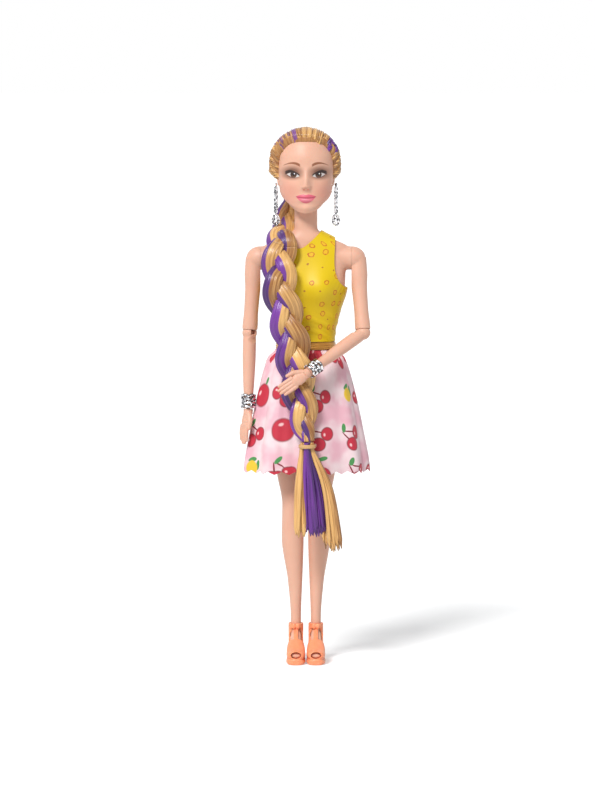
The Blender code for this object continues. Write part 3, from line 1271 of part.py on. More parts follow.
def skirt_point(angle, share, out):
    flare = smooth_between(SKIRT_SHARES, share)[0]
    top = torso_offset(angle, SKIRT_TOP_HEIGHT, FIT_GAP * 1.4)
    c = math.cos(angle)
    s = math.sin(angle)
    hem = Vector((SKIRT_HEM_HALF_WIDTH * c, SKIRT_HEM_HALF_DEPTH * s, SKIRT_HEM_HEIGHT))
    fold = SKIRT_FOLD_DEPTH * share ** 0.8 * math.cos(angle * SKIRT_FOLD_COUNT + 0.8 * math.sin(angle * 2))
    pinking = PINKING_DEPTH * share ** 8 * abs(math.sin(angle * PINKING_COUNT / 2))
    x = top.x + (hem.x - top.x) * flare
    y = top.y + (hem.y - top.y) * flare
    outward = Vector((c, s * 1.2, 0)).normalized()
    z = SKIRT_TOP_HEIGHT + (SKIRT_HEM_HEIGHT - SKIRT_TOP_HEIGHT) * share + pinking
    return Vector((x, y, z)) + outward * (fold + out)


def make_skirt(pink, strip):
    sides = 54
    shares = [0.0, 0.08, 0.3, 0.6, 0.88, 1.0]
    angles = [2 * math.pi * i / sides for i in range(sides)]
    rings = [[skirt_point(a, share, CLOTH_THICKNESS) for a in angles] for share in shares]
    rings += [[skirt_point(a, share, 0.0) for a in angles] for share in reversed(shares)]
    finish(loft("skirt", rings, closed=True), "skirt", pink, Vector((0, 0, SKIRT_TOP_HEIGHT)), 60)
    rings = []
    half = CLOSURE_WIDTH / 2
    for share in (0.10, 0.16, 0.22, 0.28, 0.34):
        middle = skirt_point(math.pi / 2, share, CLOTH_THICKNESS + FIT_GAP * 2)
        outline = ((-1, 0), (1, 0), (1, 1), (-1, 1))
        rings.append([middle + Vector((half * a, CLOSURE_THICKNESS * b, 0)) for a, b in outline])
    finish(loft("strip", rings), "skirt_closure", strip, Vector((0, 0, SKIRT_TOP_HEIGHT)))


# Ear drops
def make_ear_drop(sign, side_name, silver):
    lobe_x = HEAD_HALF_WIDTH * 0.95 + EAR_THICKNESS / 2 * math.sqrt(1 - LOBE_SHARE ** 2) + FIT_GAP
    hook = Vector((sign * lobe_x, EAR_SETBACK, EAR_HEIGHT - EAR_LENGTH / 2 * LOBE_SHARE))
    post = ball("post", hook + Vector((sign * DROP_BEAD_RADIUS, 0, 0)), [DROP_BEAD_RADIUS] * 3, 6)
    finish(post, "ear_stud_" + side_name, silver, hook)
    first = hook + Vector((sign * DROP_BEAD_RADIUS, 0, -DROP_BEAD_RADIUS * 2 - FIT_GAP))
    beads = []
    for index in range(DROP_BEAD_COUNT):
        centre = first - Vector((0, 0, DROP_BEAD_PITCH * index))
        beads.append(ball("bead", centre, [DROP_BEAD_RADIUS * 1.08] * 3, 6))
    drop = beads.pop(0)
    combine(drop, beads, "UNION")
    finish(drop, "ear_drop_" + side_name, silver, hook + Vector((sign * DROP_BEAD_RADIUS, 0, 0)))
    low = first - Vector((0, 0, DROP_BEAD_PITCH * (DROP_BEAD_COUNT - 1) + DROP_BEAD_RADIUS * 1.08
                          + FIT_GAP + PENDANT_HALF_HEIGHT))
    pendant = ball("pendant", low, (PENDANT_HALF_WIDTH, PENDANT_HALF_DEPTH, PENDANT_HALF_HEIGHT), SMALL_SIDES)
    finish(pendant, "ear_pendant_" + side_name, silver, hook + Vector((sign * DROP_BEAD_RADIUS, 0, 0)))


def centre_on_floor():
    """Put the whole doll's middle over the origin, on the floor."""
    corners = []
    for solid in bpy.context.scene.collection.objects:
        for vertex in solid.data.vertices:
            corners.append(solid.location + vertex.co)
    shift = Vector([-(min(c[k] for c in corners) + max(c[k] for c in corners)) / 2 for k in (0, 1)]
                   + [-min(c.z for c in corners)])
    for solid in bpy.context.scene.collection.objects:
        solid.location += shift


def build():
    clear_scene()
    skin = plain_material("skin_plastic", (0.86, 0.62, 0.46), 0.45)
    hair = plain_material("golden_hair", (0.72, 0.45, 0.17), 0.5)
    silver = plain_material("silver_metal", (0.8, 0.8, 0.82), 0.25, 1.0)
    yellow = plain_material("yellow_cloth", (0.8, 0.6, 0.02), 0.7)
    gold = plain_material("gold_cloth", (0.55, 0.33, 0.06), 0.5)
    pink = plain_material("pink_cloth", (0.8, 0.4, 0.5), 0.8)
    white = plain_material("white_strip", (0.85, 0.85, 0.85), 0.8)
    peach = plain_material("peach_plastic", (0.9, 0.35, 0.15), 0.4)
    band = plain_material("hair_band", (0.6, 0.4, 0.15), 0.6)
    make_torso(skin)
    make_neck_peg(skin)
    make_head(skin)
    make_hair_cap(hair)
    make_ponytail(hair)
    make_braid(hair, band)
    make_tail(hair)
    for sign, side_name in ((1, "left"), (-1, "right")):
        make_arm(sign, side_name, skin, silver)
        make_leg(sign, side_name, skin)
        make_shoe(sign, side_name, peach)
        make_ear_drop(sign, side_name, silver)
    make_bodice(yellow, white)
    make_belt(gold)
    make_skirt(pink, white)
    centre_on_floor()


build()
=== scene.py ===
"""The looks of a jointed fashion doll, in the order in which the doll is put together."""
import math
import random

import bpy
from mathutils import Matrix, Vector
from mathutils.bvhtree import BVHTree


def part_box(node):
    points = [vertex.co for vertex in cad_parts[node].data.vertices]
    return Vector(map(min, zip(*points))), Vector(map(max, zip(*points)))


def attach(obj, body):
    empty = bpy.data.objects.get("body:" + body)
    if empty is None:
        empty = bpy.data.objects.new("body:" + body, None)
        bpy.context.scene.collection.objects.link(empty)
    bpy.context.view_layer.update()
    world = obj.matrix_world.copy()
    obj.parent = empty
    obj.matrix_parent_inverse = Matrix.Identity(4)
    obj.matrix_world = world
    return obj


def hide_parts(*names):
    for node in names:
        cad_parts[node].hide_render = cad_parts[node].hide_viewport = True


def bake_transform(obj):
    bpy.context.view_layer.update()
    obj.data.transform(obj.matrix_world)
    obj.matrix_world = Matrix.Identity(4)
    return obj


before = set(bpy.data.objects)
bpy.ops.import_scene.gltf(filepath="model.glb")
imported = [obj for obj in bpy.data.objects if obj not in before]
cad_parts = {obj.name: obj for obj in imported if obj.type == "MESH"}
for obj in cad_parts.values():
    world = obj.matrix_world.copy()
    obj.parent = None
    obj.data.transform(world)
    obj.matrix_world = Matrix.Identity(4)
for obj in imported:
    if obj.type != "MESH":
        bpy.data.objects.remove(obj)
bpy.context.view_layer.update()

# The studio: a pale floor under soft light from the front left, and a camera on a
# long lens a little above the doll's middle. None of it is part of the doll.
shell_low, shell_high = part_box("torso_front_shell")
fit_gap = 0.0003
doll_axis = Vector(((shell_low.x + shell_high.x) / 2, shell_high.y + fit_gap / 2, 0.0))
picture_height = 0.4428
camera_distance = 2.2
camera_rise = math.radians(5.0)
picture_middle = doll_axis + Vector((-0.0047, 0.0, 0.1492))
key_width = math.radians(17)
key_rise = math.radians(44)
key_turn = math.radians(27)
white_colour = (1.0, 1.0, 1.0, 1.0)
both_sides = ((1, "left"), (-1, "right"))


class Value:
    """An output of a shader's node; arithmetic on it adds the nodes that work it out."""

    def __init__(self, node, output=0):
        self.socket = node.outputs[output]

    def __add__(self, other):
        return maths("ADD", self, other)

    def __sub__(self, other):
        return maths("SUBTRACT", self, other)

    def __rsub__(self, other):
        return maths("SUBTRACT", other, self)

    def __mul__(self, other):
        return maths("MULTIPLY", self, other)

    def __truediv__(self, other):
        return maths("DIVIDE", self, other)


def put(socket, value):
    """Set a node's input, or link a value to it."""
    if isinstance(value, Value):
        socket.id_data.links.new(value.socket, socket)
    else:
        socket.default_value = value


def add_node(kind, inputs, tree=None, **settings):
    """A node with its settings and inputs, in the tree that is given or that of an input."""
    trees = [value.socket.id_data for value in inputs.values() if isinstance(value, Value)]
    node = (tree or trees[0]).nodes.new("ShaderNode" + kind)
    for setting, value in settings.items():
        setattr(node, setting, value)
    for name, value in inputs.items():
        put(node.inputs[name], value)
    return node


def maths(operation, *values):
    return Value(add_node("Math", dict(enumerate(values)), operation=operation))


def seen_directly(tree):
    """1 where the camera, or a reflection or refraction, looks straight at it."""
    path = add_node("LightPath", {}, tree)
    camera_ray, mirror_ray, clear_ray = (Value(path, "Is %s Ray" % kind)
                                         for kind in ("Camera", "Glossy", "Transmission"))
    return maths("MAXIMUM", maths("MAXIMUM", camera_ray, mirror_ray), clear_ray)


def start_finish(name, **values):
    """A material whose constant values sit on the shader's own sockets."""
    finish = bpy.data.materials.new(name)
    finish.use_nodes = True
    shader = finish.node_tree.nodes["Principled BSDF"]
    for socket, value in values.items():
        put(shader.inputs[socket.replace("_", " ")], value)
    return finish, finish.node_tree, shader


scene = bpy.context.scene
scene.view_settings.view_transform = "Standard"
back_from_doll = Vector((0, -math.cos(camera_rise), math.sin(camera_rise)))
bpy.ops.object.camera_add(location=picture_middle + back_from_doll * camera_distance,
                          rotation=(math.pi / 2 - camera_rise, 0, 0))
camera = bpy.context.object
camera.data.lens = camera.data.sensor_width * camera_distance / picture_height
camera.data.clip_end = 100
scene.camera = camera

key_level = math.cos(key_rise)
key_direction = Vector((-math.sin(key_turn) * key_level, -math.cos(key_turn) * key_level, math.sin(key_rise)))
bpy.ops.object.light_add(type="SUN", location=picture_middle + key_direction,
                         rotation=key_direction.to_track_quat("Z", "Y").to_euler())
key = bpy.context.object
key.data.angle = key_width
key.data.energy = 2.75

world = bpy.data.worlds.new("studio_air")
world.use_nodes = True
scene.world = world
air = world.node_tree
air_light = air.nodes["Background"]
put(air_light.inputs["Color"], (0.96, 0.98, 1.0, 1.0))
put(air_light.inputs["Strength"], 0.42)
white_air = add_node("Background", {"Color": white_colour, "Strength": 1.0}, air)
choice = add_node("MixShader", {0: seen_directly(air), 1: Value(air_light), 2: Value(white_air)})
put(air.nodes["World Output"].inputs["Surface"], Value(choice))

bpy.ops.mesh.primitive_plane_add(size=60, location=(0, 0, -0.00005))
floor = bpy.context.object
floor.name = "studio_floor"
floor_finish, tree, shader = start_finish("studio_floor_white", Base_Color=(0.86, 0.86, 0.86, 1.0),
                                          Roughness=1.0, Specular_IOR_Level=0.0)
lift = add_node("Emission", {"Color": white_colour, "Strength": seen_directly(tree) * 0.36})
total = add_node("AddShader", {0: Value(shader), 1: Value(lift)})
put(tree.nodes["Material Output"].inputs["Surface"], Value(total))
floor.data.materials.append(floor_finish)

# The torso: two hard vinyl shells glued at the side seams, with the neck in one
# piece and a flat round seat for each arm. The hip sockets are open at the sides.
crotch_height = 0.1440
torso_length = 0.1128
neck_top_height = crotch_height + torso_length
hip_line_height = 0.1600
waist_height = 0.1820
bust_height = 0.2100
armpit_height = 0.2200
shoulder_top_height = 0.2325
bust_swell = 0.0046
bust_spread = 0.0095
bust_span = 0.0085
neck_radius = 0.0064
neck_setback = 0.0010
squareness = 0.86
arm_seam = 0.0251
shoulder_joint_height = 0.2264
shoulder_disc_radius = 0.0064
shoulder_boss_depth = 0.0070
neck_socket_height = 0.2530
neck_socket_radius = 0.0043
neck_mouth_radius = 0.0036
arm_hole_radius = 0.0025
arm_hole_depth = 0.0060
hip_height = 0.1500
hip_spacing = 0.0089
hip_ball_radius = 0.0070
leg_setback = 0.0006
gusset_half_thickness = 0.0011
thigh_reach = 0.03
thigh_flare = 0.0818
hip_swing_forward = 62
hip_swing_back = 22
torso_levels = [
    # height, half width, front, back
    (crotch_height, 0.0120, 0.0075, 0.0085),
    (hip_line_height, 0.0190, 0.0112, 0.0138),
    (waist_height, 0.0150, 0.0094, 0.0090),
    (0.1960, 0.0178, 0.0110, 0.0098),
    (bust_height, 0.0218, 0.0120, 0.0108),
    (armpit_height, 0.0222, 0.0106, 0.0108),
    (shoulder_top_height, 0.0236, 0.0074, 0.0084),
    (0.2372, 0.0150, 0.0066, 0.0080),
    (0.2430, neck_radius, neck_radius - neck_setback, neck_radius + neck_setback),
    (neck_top_height, neck_radius, neck_radius - neck_setback, neck_radius + neck_setback),
]


def bell(distance, width):
    return math.exp(-(distance / width) ** 2)


def between_levels(levels, at):
    """Values at a height or share, eased through the rows without overshoot."""
    heights = [row[0] for row in levels]
    if at <= heights[0]:
        return levels[0][1:]
    if at >= heights[-1]:
        return levels[-1][1:]
    k = max(i for i in range(len(heights) - 1) if heights[i] <= at)
    step = heights[k + 1] - heights[k]
    t = (at - heights[k]) / step
    values = []
    for column in range(1, len(levels[0])):
        slopes = []
        for i in (k, k + 1):
            slope = 0.0
            if 0 < i < len(levels) - 1:
                before = (levels[i][column] - levels[i - 1][column]) / (heights[i] - heights[i - 1])
                after = (levels[i + 1][column] - levels[i][column]) / (heights[i + 1] - heights[i])
                if before * after > 0:
                    slope = 2 * before * after / (before + after)
            slopes.append(slope)
        low = levels[k][column]
        high = levels[k + 1][column]
        values.append(low * (2 * t ** 3 - 3 * t ** 2 + 1) + high * (3 * t ** 2 - 2 * t ** 3)
                      + step * slopes[0] * (t ** 3 - 2 * t ** 2 + t) + step * slopes[1] * (t ** 3 - t ** 2))
    return values


torso_sizes = {}


def torso_point(angle, height):
    """The torso's skin; the angle runs from the doll's left side by its back."""
    if height not in torso_sizes:
        torso_sizes[height] = between_levels(torso_levels, height)
    half_width, front, back = torso_sizes[height]
    c = math.cos(angle)
    s = math.sin(angle)
    x = half_width * math.copysign(abs(c) ** squareness, c)
    y = (back if s > 0 else front) * math.copysign(abs(s) ** squareness, s)
    if s < 0:
        fall = ((height - bust_height) / bust_span) ** 2
        for side in (-1, 1):
            y -= bust_swell * math.exp(-((x - side * bust_spread) / bust_span) ** 2 - fall) * abs(s)
    return Vector((x, y, height))


def torso_offset(angle, height, out):
    """The torso's skin moved out along its own normal."""
    step = 0.02
    rise = torso_length / 400
    around = torso_point(angle + step, height) - torso_point(angle - step, height)
    upward = torso_point(angle, height + rise) - torso_point(angle, height - rise)
    return torso_point(angle, height) + around.cross(upward).normalized() * out


def share_of_turn(u):
    """An angle round a tube; it is the same at 0 and at 1."""
    return 2 * math.pi * (u % 1.0)


def once_round(u):
    """Cosine and sine of a share of a turn."""
    return math.cos(share_of_turn(u)), math.sin(share_of_turn(u))


def choose(*pieces):
    """Select these pieces alone and make the first one active."""
    bpy.ops.object.select_all(action="DESELECT")
    for piece in pieces:
        piece.select_set(True)
    bpy.context.view_layer.objects.active = pieces[0]


def face_outward(piece):
    choose(piece)
    bpy.ops.object.mode_set(mode="EDIT")
    bpy.ops.mesh.select_all(action="SELECT")
    bpy.ops.mesh.normals_make_consistent(inside=False)
    bpy.ops.object.mode_set(mode="OBJECT")
    return piece


def bent_grid(across, along, place, cap=False):
    """A grid bent by place(u, v) into a tube or sheet; it keeps the grid's UV map."""
    bpy.ops.mesh.primitive_grid_add(x_subdivisions=across, y_subdivisions=along, size=1)
    piece = bpy.context.object
    for vertex in piece.data.vertices:
        u = round((vertex.co.x + 0.5) * across) / across
        v = round((vertex.co.y + 0.5) * along) / along
        vertex.co = place(u, v)
    bpy.ops.object.mode_set(mode="EDIT")
    bpy.ops.mesh.select_all(action="SELECT")
    bpy.ops.mesh.remove_doubles(threshold=0.000002)
    if cap:
        bpy.ops.mesh.select_all(action="DESELECT")
        bpy.ops.mesh.select_mode(type="EDGE")
        bpy.ops.mesh.select_non_manifold()
        bpy.ops.mesh.fill_holes(sides=0)
    bpy.ops.object.mode_set(mode="OBJECT")
    return face_outward(piece)


def limb(stations, sides=40, rows_each=6):
    """A round limb through (centre, half width, half depth), capped at both ends."""
    spans = len(stations) - 1
    table = [(i, *centre, side, depth) for i, (centre, side, depth) in enumerate(stations)]

    def place(u, v):
        x, y, z, half_side, half_depth = between_levels(table, v * spans)
        k = min(int(v * spans), spans - 1)
        forward = (stations[k + 1][0] - stations[k][0]).normalized()
        hint = Vector((0, 1, 0)) if abs(forward.x) > 0.8 else Vector((1, 0, 0))
        side = (hint - forward * forward.dot(hint)).normalized()
        c, s = once_round(u)
        return Vector((x, y, z)) + side * (half_side * c) + forward.cross(side) * (half_depth * s)

    return bent_grid(sides, rows_each * spans, place, cap=True)


def add_ball(centre, radii, segments=40, turn=Matrix.Identity(3)):
    """A ball of one radius, or of three along its own axes."""
    bpy.ops.mesh.primitive_uv_sphere_add(segments=segments, ring_count=segments // 2, radius=1.0)
    piece = bpy.context.object
    sizes = radii if isinstance(radii, tuple) else (radii,) * 3
    piece.data.transform(Matrix.Translation(centre) @ turn.to_4x4() @ Matrix.Diagonal((*sizes, 1.0)))
    return piece


def add_bar(start, end, radius):
    """A plain round bar between two points."""
    way = end - start
    bpy.ops.mesh.primitive_cylinder_add(vertices=32, radius=radius, depth=way.length)
    piece = bpy.context.object
    turn = way.to_track_quat("Z", "Y").to_matrix().to_4x4()
    piece.data.transform(Matrix.Translation((start + end) / 2) @ turn)
    return piece


def add_box(low, high):
    bpy.ops.mesh.primitive_cube_add(size=1.0)
    piece = bpy.context.object
    low, high = Vector(low), Vector(high)
    piece.data.transform(Matrix.Translation((low + high) / 2) @ Matrix.Diagonal((*(high - low), 1.0)))
    return piece


def new_piece(name, points, faces):
    mesh = bpy.data.meshes.new(name)
    mesh.from_pydata(points, [], faces)
    piece = bpy.data.objects.new(name, mesh)
    scene.collection.objects.link(piece)
    return piece


def add_prism(outlines):
    """A solid between two outlines of equal count."""
    count = len(outlines[0])
    sides = [(i, (i + 1) % count, count + (i + 1) % count, count + i) for i in range(count)]
    ends = [tuple(reversed(range(count))), tuple(range(count, 2 * count))]
    return face_outward(new_piece("prism", [*outlines[0], *outlines[1]], sides + ends))


def joined(pieces):
    choose(*pieces)
    if len(pieces) > 1:
        bpy.ops.object.join()
    return pieces[0]


def apply_modifier(piece, kind, **settings):
    choose(piece)
    modifier = piece.modifiers.new(kind.lower(), kind)
    for setting, value in settings.items():
        setattr(modifier, setting, value)
    bpy.ops.object.modifier_apply(modifier=modifier.name)
    return piece


def cut(piece, tools, operation="DIFFERENCE"):
    """Cut, join or trim a piece with others, which are used up."""
    for tool in tools:
        apply_modifier(piece, "BOOLEAN", operation=operation, solver="MANIFOLD", object=tool)
        bpy.data.objects.remove(tool, do_unlink=True)
    return piece


def melt(pieces, voxel, passes=3):
    """Overlapping solids run together into one smooth moulding."""
    moulding = joined(pieces)
    apply_modifier(moulding, "REMESH", mode="VOXEL", voxel_size=voxel, use_smooth_shade=True)
    return apply_modifier(moulding, "SMOOTH", factor=0.5, iterations=passes)


def flat_cut(piece, point, normal):
    """Cut a moulding off flat at a plane, on the side that the normal points to."""
    reach = 0.4
    bpy.ops.mesh.primitive_cube_add(size=2 * reach)
    block = bpy.context.object
    turn = normal.to_track_quat("Z", "Y").to_matrix().to_4x4()
    block.data.transform(Matrix.Translation(point + normal.normalized() * reach) @ turn)
    return cut(piece, [block])


def coat(piece, finish):
    """Give a piece this material alone."""
    piece.data.materials.clear()
    piece.data.materials.append(finish)


def stand(piece, name, body, finish, replaced=(), smooth_angle=None):
    """Set a piece on the doll's axis, finish it and let it ride on its body, if it has one."""
    piece.name = name
    piece.data.name = name
    piece.data.transform(Matrix.Translation(doll_axis))
    coat(piece, finish)
    choose(piece)
    if smooth_angle:
        bpy.ops.object.shade_smooth_by_angle(angle=math.radians(smooth_angle))
    else:
        bpy.ops.object.shade_smooth()
    if body:
        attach(piece, body)
    if replaced:
        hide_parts(*replaced)
    return piece


def mix_colours(share, low, high):
    return Value(add_node("Mix", {0: share, 6: low, 7: high}, data_type="RGBA"), 2)


def noise_of(place, scale, detail=2.0):
    return Value(add_node("TexNoise", {"Vector": place, "Scale": scale, "Detail": detail}), "Fac")


def object_place(tree):
    return Value(add_node("TexCoord", {}, tree), "Object")


def map_place(tree, *scale):
    """The piece's UV map, scaled."""
    return Value(add_node("Mapping", {"Vector": Value(add_node("UVMap", {}, tree)), "Scale": scale}))


def colour_with(shader, colour):
    put(shader.inputs["Base Color"], colour)


def emboss(shader, height, depth, strength):
    """Raise or sink the surface's shading by a height map; depth is in metres."""
    bump = add_node("Bump", {"Height": height, "Distance": depth, "Strength": strength})
    put(shader.inputs["Normal"], Value(bump))


skin_light = (0.760, 0.440, 0.320, 1.0)
skin_deep = (0.710, 0.385, 0.270, 1.0)


def skin_finish(name):
    """Soft matt vinyl with a faint mottle and a moulded grain."""
    finish, tree, shader = start_finish(name, Roughness=0.46, Specular_IOR_Level=0.42, Subsurface_Weight=0.12,
                                        Subsurface_Scale=0.002, Subsurface_Radius=(1.0, 0.35, 0.2))
    place = object_place(tree)
    colour = mix_colours(noise_of(place, 90.0), skin_deep, skin_light)
    colour_with(shader, colour)
    emboss(shader, noise_of(place, 5200.0, 3.0), 0.00002, 0.35)
    return finish, shader, place, colour


body_skin = skin_finish("body_vinyl")[0]


def stand_skin(piece, name, body, *replaced):
    """Stand a piece of the body in its vinyl."""
    return stand(piece, name, body, body_skin, replaced, 50)


def shoulder_at(x):
    """A point level with the arms' pegs."""
    return Vector((x, 0, shoulder_joint_height))


def torso_wall(u, v):
    """The torso's skin, round it and from the crotch up to the neck's top."""
    return torso_point(share_of_turn(u), crotch_height + torso_length * v)


def shoulder_pad(sign):
    """The muscle between the neck's slope and the arm's flat seat."""
    seat = shoulder_at(sign * arm_seam)
    inner = Vector((sign * (arm_seam - shoulder_boss_depth * 1.6), 0, shoulder_joint_height + 0.0010))
    outer = seat + Vector((sign * shoulder_boss_depth / 2, 0, 0))
    radius = shoulder_disc_radius * 1.03
    return limb([(inner, radius * 0.96, radius * 0.96), (seat, radius, radius), (outer, radius, radius)],
                40, 8)


def thigh_room(sign):
    """The way that the thigh's top sweeps between its swing limits."""
    near = hip_ball_radius + fit_gap
    far = near + thigh_flare * thigh_reach
    outline = []

    def beside(angle, out, down):
        swing = math.radians(angle)
        outline.append((leg_setback + out * math.cos(swing) + down * math.sin(swing),
                        hip_height + out * math.sin(swing) - down * math.cos(swing)))

    beside(hip_swing_back, far, thigh_reach)
    for step in range(25):
        beside(hip_swing_back + (180 - hip_swing_forward - hip_swing_back) * step / 24, near, 0)
    beside(-hip_swing_forward, -far, thigh_reach)
    outline.append((leg_setback - thigh_reach / 3, hip_height - thigh_reach * 1.5))
    return add_prism([[Vector((x, y, z)) for y, z in outline]
                      for x in (sign * gusset_half_thickness, sign * thigh_reach)])


torso = bent_grid(96, 110, torso_wall, cap=True)
torso = melt([torso, shoulder_pad(1), shoulder_pad(-1)], 0.00065, 5)
for sign in (-1, 1):
    flat_cut(torso, Vector((sign * (arm_seam + 0.00022), 0, 0)), Vector((sign, 0, 0)))
socket_centre = Vector((0, neck_setback, neck_socket_height))
mouth_end = Vector((0, neck_setback, neck_top_height + 0.002))
cut(torso, [add_ball(socket_centre, neck_socket_radius),
            add_bar(socket_centre, mouth_end, neck_mouth_radius)])
for sign in (-1, 1):
    hole_end = shoulder_at(sign * (arm_seam - arm_hole_depth))
    cut(torso, [add_bar(hole_end, shoulder_at(sign * (arm_seam + 0.002)), arm_hole_radius)])
cut(torso, [thigh_room(1), thigh_room(-1)])
stand_skin(torso, "torso_body", "torso", "torso_front_shell", "torso_back_shell")
coat(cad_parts["neck_peg"], body_skin)
for joint in ("shoulder", "elbow", "wrist", "hip"):
    for sign, side in both_sides:
        coat(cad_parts[joint + "_peg_" + side], body_skin)

# The legs: rigid rotocast vinyl, smooth from the hip ball to the arched foot, each
# snapped on a peg in the pelvis. No knee seam shows, so there is none.
ankle_height = 0.0235
ankle_half_width = 0.0029
ankle_half_depth = 0.0034
foot_spacing = 0.0056
ankle_setback = 0.0030
heel_reach = 0.0072
toe_reach = 0.0175
heel_centre_height = 0.0150
toe_centre_height = 0.0052
heel_half_width = 0.0029
foot_half_height = 0.0031
knee_height = 0.0905
knee_rise = 0.0004
hip_socket_radius = 0.0031
hip_mouth_radius = 0.0036
hip_mouth_reach = 0.0090
leg_levels = [
    # height, x, y, half width, half depth
    (ankle_height - ankle_half_width * 3, foot_spacing, ankle_setback * 1.25, ankle_half_width,
     ankle_half_depth * 0.9),
    (ankle_height, foot_spacing, ankle_setback, ankle_half_width, ankle_half_depth),
    (0.0440, 0.0060, ankle_setback * 0.9, 0.0040, 0.0044),
    (0.0700, 0.0074, ankle_setback * 0.8, 0.0062, 0.0068),
    (0.0880, 0.0073, leg_setback, 0.0060, 0.0064),
    (0.1070, 0.0087, leg_setback, 0.0077, 0.0080),
    (0.1280, 0.0095, leg_setback, 0.0085, 0.0090),
    (hip_height, hip_spacing, leg_setback, hip_ball_radius * 0.98, hip_ball_radius * 0.98),
]
foot_levels = [
    # way from heel to toe, half width, rise, half height
    (0.0, 0.55, 1.00, 0.50),
    (0.10, 0.92, 0.98, 0.95),
    (0.28, 1.00, 0.92, 1.05),
    (0.50, 1.10, 0.56, 0.95),
    (0.72, 1.34, 0.20, 0.76),
    (0.88, 1.30, 0.02, 0.58),
    (0.97, 1.00, 0.00, 0.46),
    (1.0, 0.62, 0.00, 0.26),
]


def leg_column(sign, extra, low, high, rows):
    """The leg between two heights, grown by extra all round."""
    def place(u, v):
        height = low + (high - low) * v
        x, y, half, depth = between_levels(leg_levels, height)
        c, s = once_round(u)
        knee = bell(height - knee_height, 0.005) * knee_rise * max(0.0, -s) ** 3
        return Vector((sign * x + (half + extra) * c, y + (depth + extra) * s - knee, height))
    return bent_grid(40, rows, place, cap=True)


def foot_moulding(sign, extra):
    """The foot from heel to toe, grown by extra all round."""
    def place(u, v):
        half, rise, half_height = between_levels(foot_levels, v)
        c, s = once_round(u)
        y = heel_reach + extra - (heel_reach + toe_reach + 2 * extra) * v
        z = toe_centre_height + (heel_centre_height - toe_centre_height) * rise
        return Vector((sign * foot_spacing + (heel_half_width * half + extra) * c, y,
                       z + (foot_half_height * half_height + extra) * s))
    return bent_grid(40, 48, place, cap=True)


for sign, side in both_sides:
    column = leg_column(sign, 0.0, ankle_height - ankle_half_width * 2.6, hip_height, 150)
    hip = Vector((sign * hip_spacing, leg_setback, hip_height))
    leg = melt([column, foot_moulding(sign, 0.0), add_ball(hip, hip_ball_radius)], 0.0005, 3)
    mouth_end = hip - Vector((sign * hip_mouth_reach, 0, 0))
    cut(leg, [add_ball(hip, hip_socket_radius), add_bar(hip, mouth_end, hip_mouth_radius)])
    stand_skin(leg, "leg_skin_" + side, side + "_leg", "leg_" + side)

# The head: a hollow soft vinyl head with rooted hair, its face painted on: brown
# eyes with a soft lid colour, arched brows, rosy cheeks and pink lips.
crown_height = 0.2974
chin_height = 0.2515
nape_height = 0.2580
head_half_width = 0.0153
head_front = 0.0142
head_back = 0.0152
head_wall = 0.0012
neck_hole_radius = 0.0071
nose_height = 0.2670
nose_reach = 0.0028
nose_half_width = 0.0021
lip_height = 0.2602
lip_reach = 0.0009
eye_height = 0.2732
eye_spacing = 0.0077
eye_socket = 0.0009
head_levels = [
    # share of the height, half width, front, back
    (0.00, 0.68, 0.86, 0.62),
    (0.07, 0.87, 0.93, 0.67),
    (0.16, 0.955, 0.97, 0.74),
    (0.30, 0.98, 0.99, 0.87),
    (0.48, 1.00, 0.97, 0.99),
    (0.64, 0.99, 0.97, 1.00),
    (0.79, 0.86, 0.85, 0.86),
    (0.90, 0.63, 0.62, 0.63),
    (0.97, 0.33, 0.33, 0.34),
    (1.00, 0.05, 0.05, 0.05),
]
face_relief = [
    # middle's x, its height, half width, half height, how far it stands out
    (0.0, nose_height + 0.0050, 0.0026, 0.0040, 0.0010),
    (0.0, lip_height + 0.0009, 0.0038, 0.0011, lip_reach),
    (0.0, lip_height - 0.0010, 0.0038, 0.0013, lip_reach * 1.15),
    (0.0, lip_height, 0.0042, 0.00035, -0.0005),
    (0.0, lip_height - 0.0032, 0.0030, 0.0012, -0.0004),
    (0.0, chin_height + 0.0028, 0.0036, 0.0026, 0.0007),
]
for sign in (-1, 1):
    face_relief += [
        (sign * eye_spacing, eye_height, eye_spacing * 0.55, 0.0032, -eye_socket),
        (sign * eye_spacing, eye_height, 0.0036, 0.0018, 0.0008),
        (sign * 0.0085, eye_height + 0.0062, 0.0040, 0.0018, 0.0003),
        (sign * 0.0088, 0.2660, 0.0040, 0.0040, 0.0006),
    ]


def lowest_at(angle):
    """The jaw's lower edge at an angle round the head."""
    return nape_height + (chin_height - nape_height) * max(0.0, -math.sin(angle)) ** 1.7


def head_point(angle, share, out=0.0, relief=1.0):
    """The head's skin; share runs from the jaw line up to the crown."""
    half_width, front, back = between_levels(head_levels, share)
    low = lowest_at(angle)
    z = low + (crown_height - low) * share
    c = math.cos(angle)
    s = math.sin(angle)
    x = head_half_width * half_width * c
    y = (head_back * back if s > 0 else head_front * front) * s
    if s < 0:
        nose_span = nose_reach * (1.9 if z > nose_height else 0.7)
        raised = nose_reach * bell(x, nose_half_width) * bell(z - nose_height, nose_span)
        raised += 0.0008 * bell(abs(x) - 0.0017, 0.0010) * bell(z - nose_height + 0.0008, 0.0012)
        for middle, height, half_wide, half_high, rise in face_relief:
            raised += rise * bell(x - middle, half_wide) * bell(z - height, half_high)
        y -= relief * raised
    point = Vector((x, y, z))
    if out:
        away = Vector((x, y, (z - (crown_height + nape_height) / 2) * 0.8))
        point += away.normalized() * out
    return point


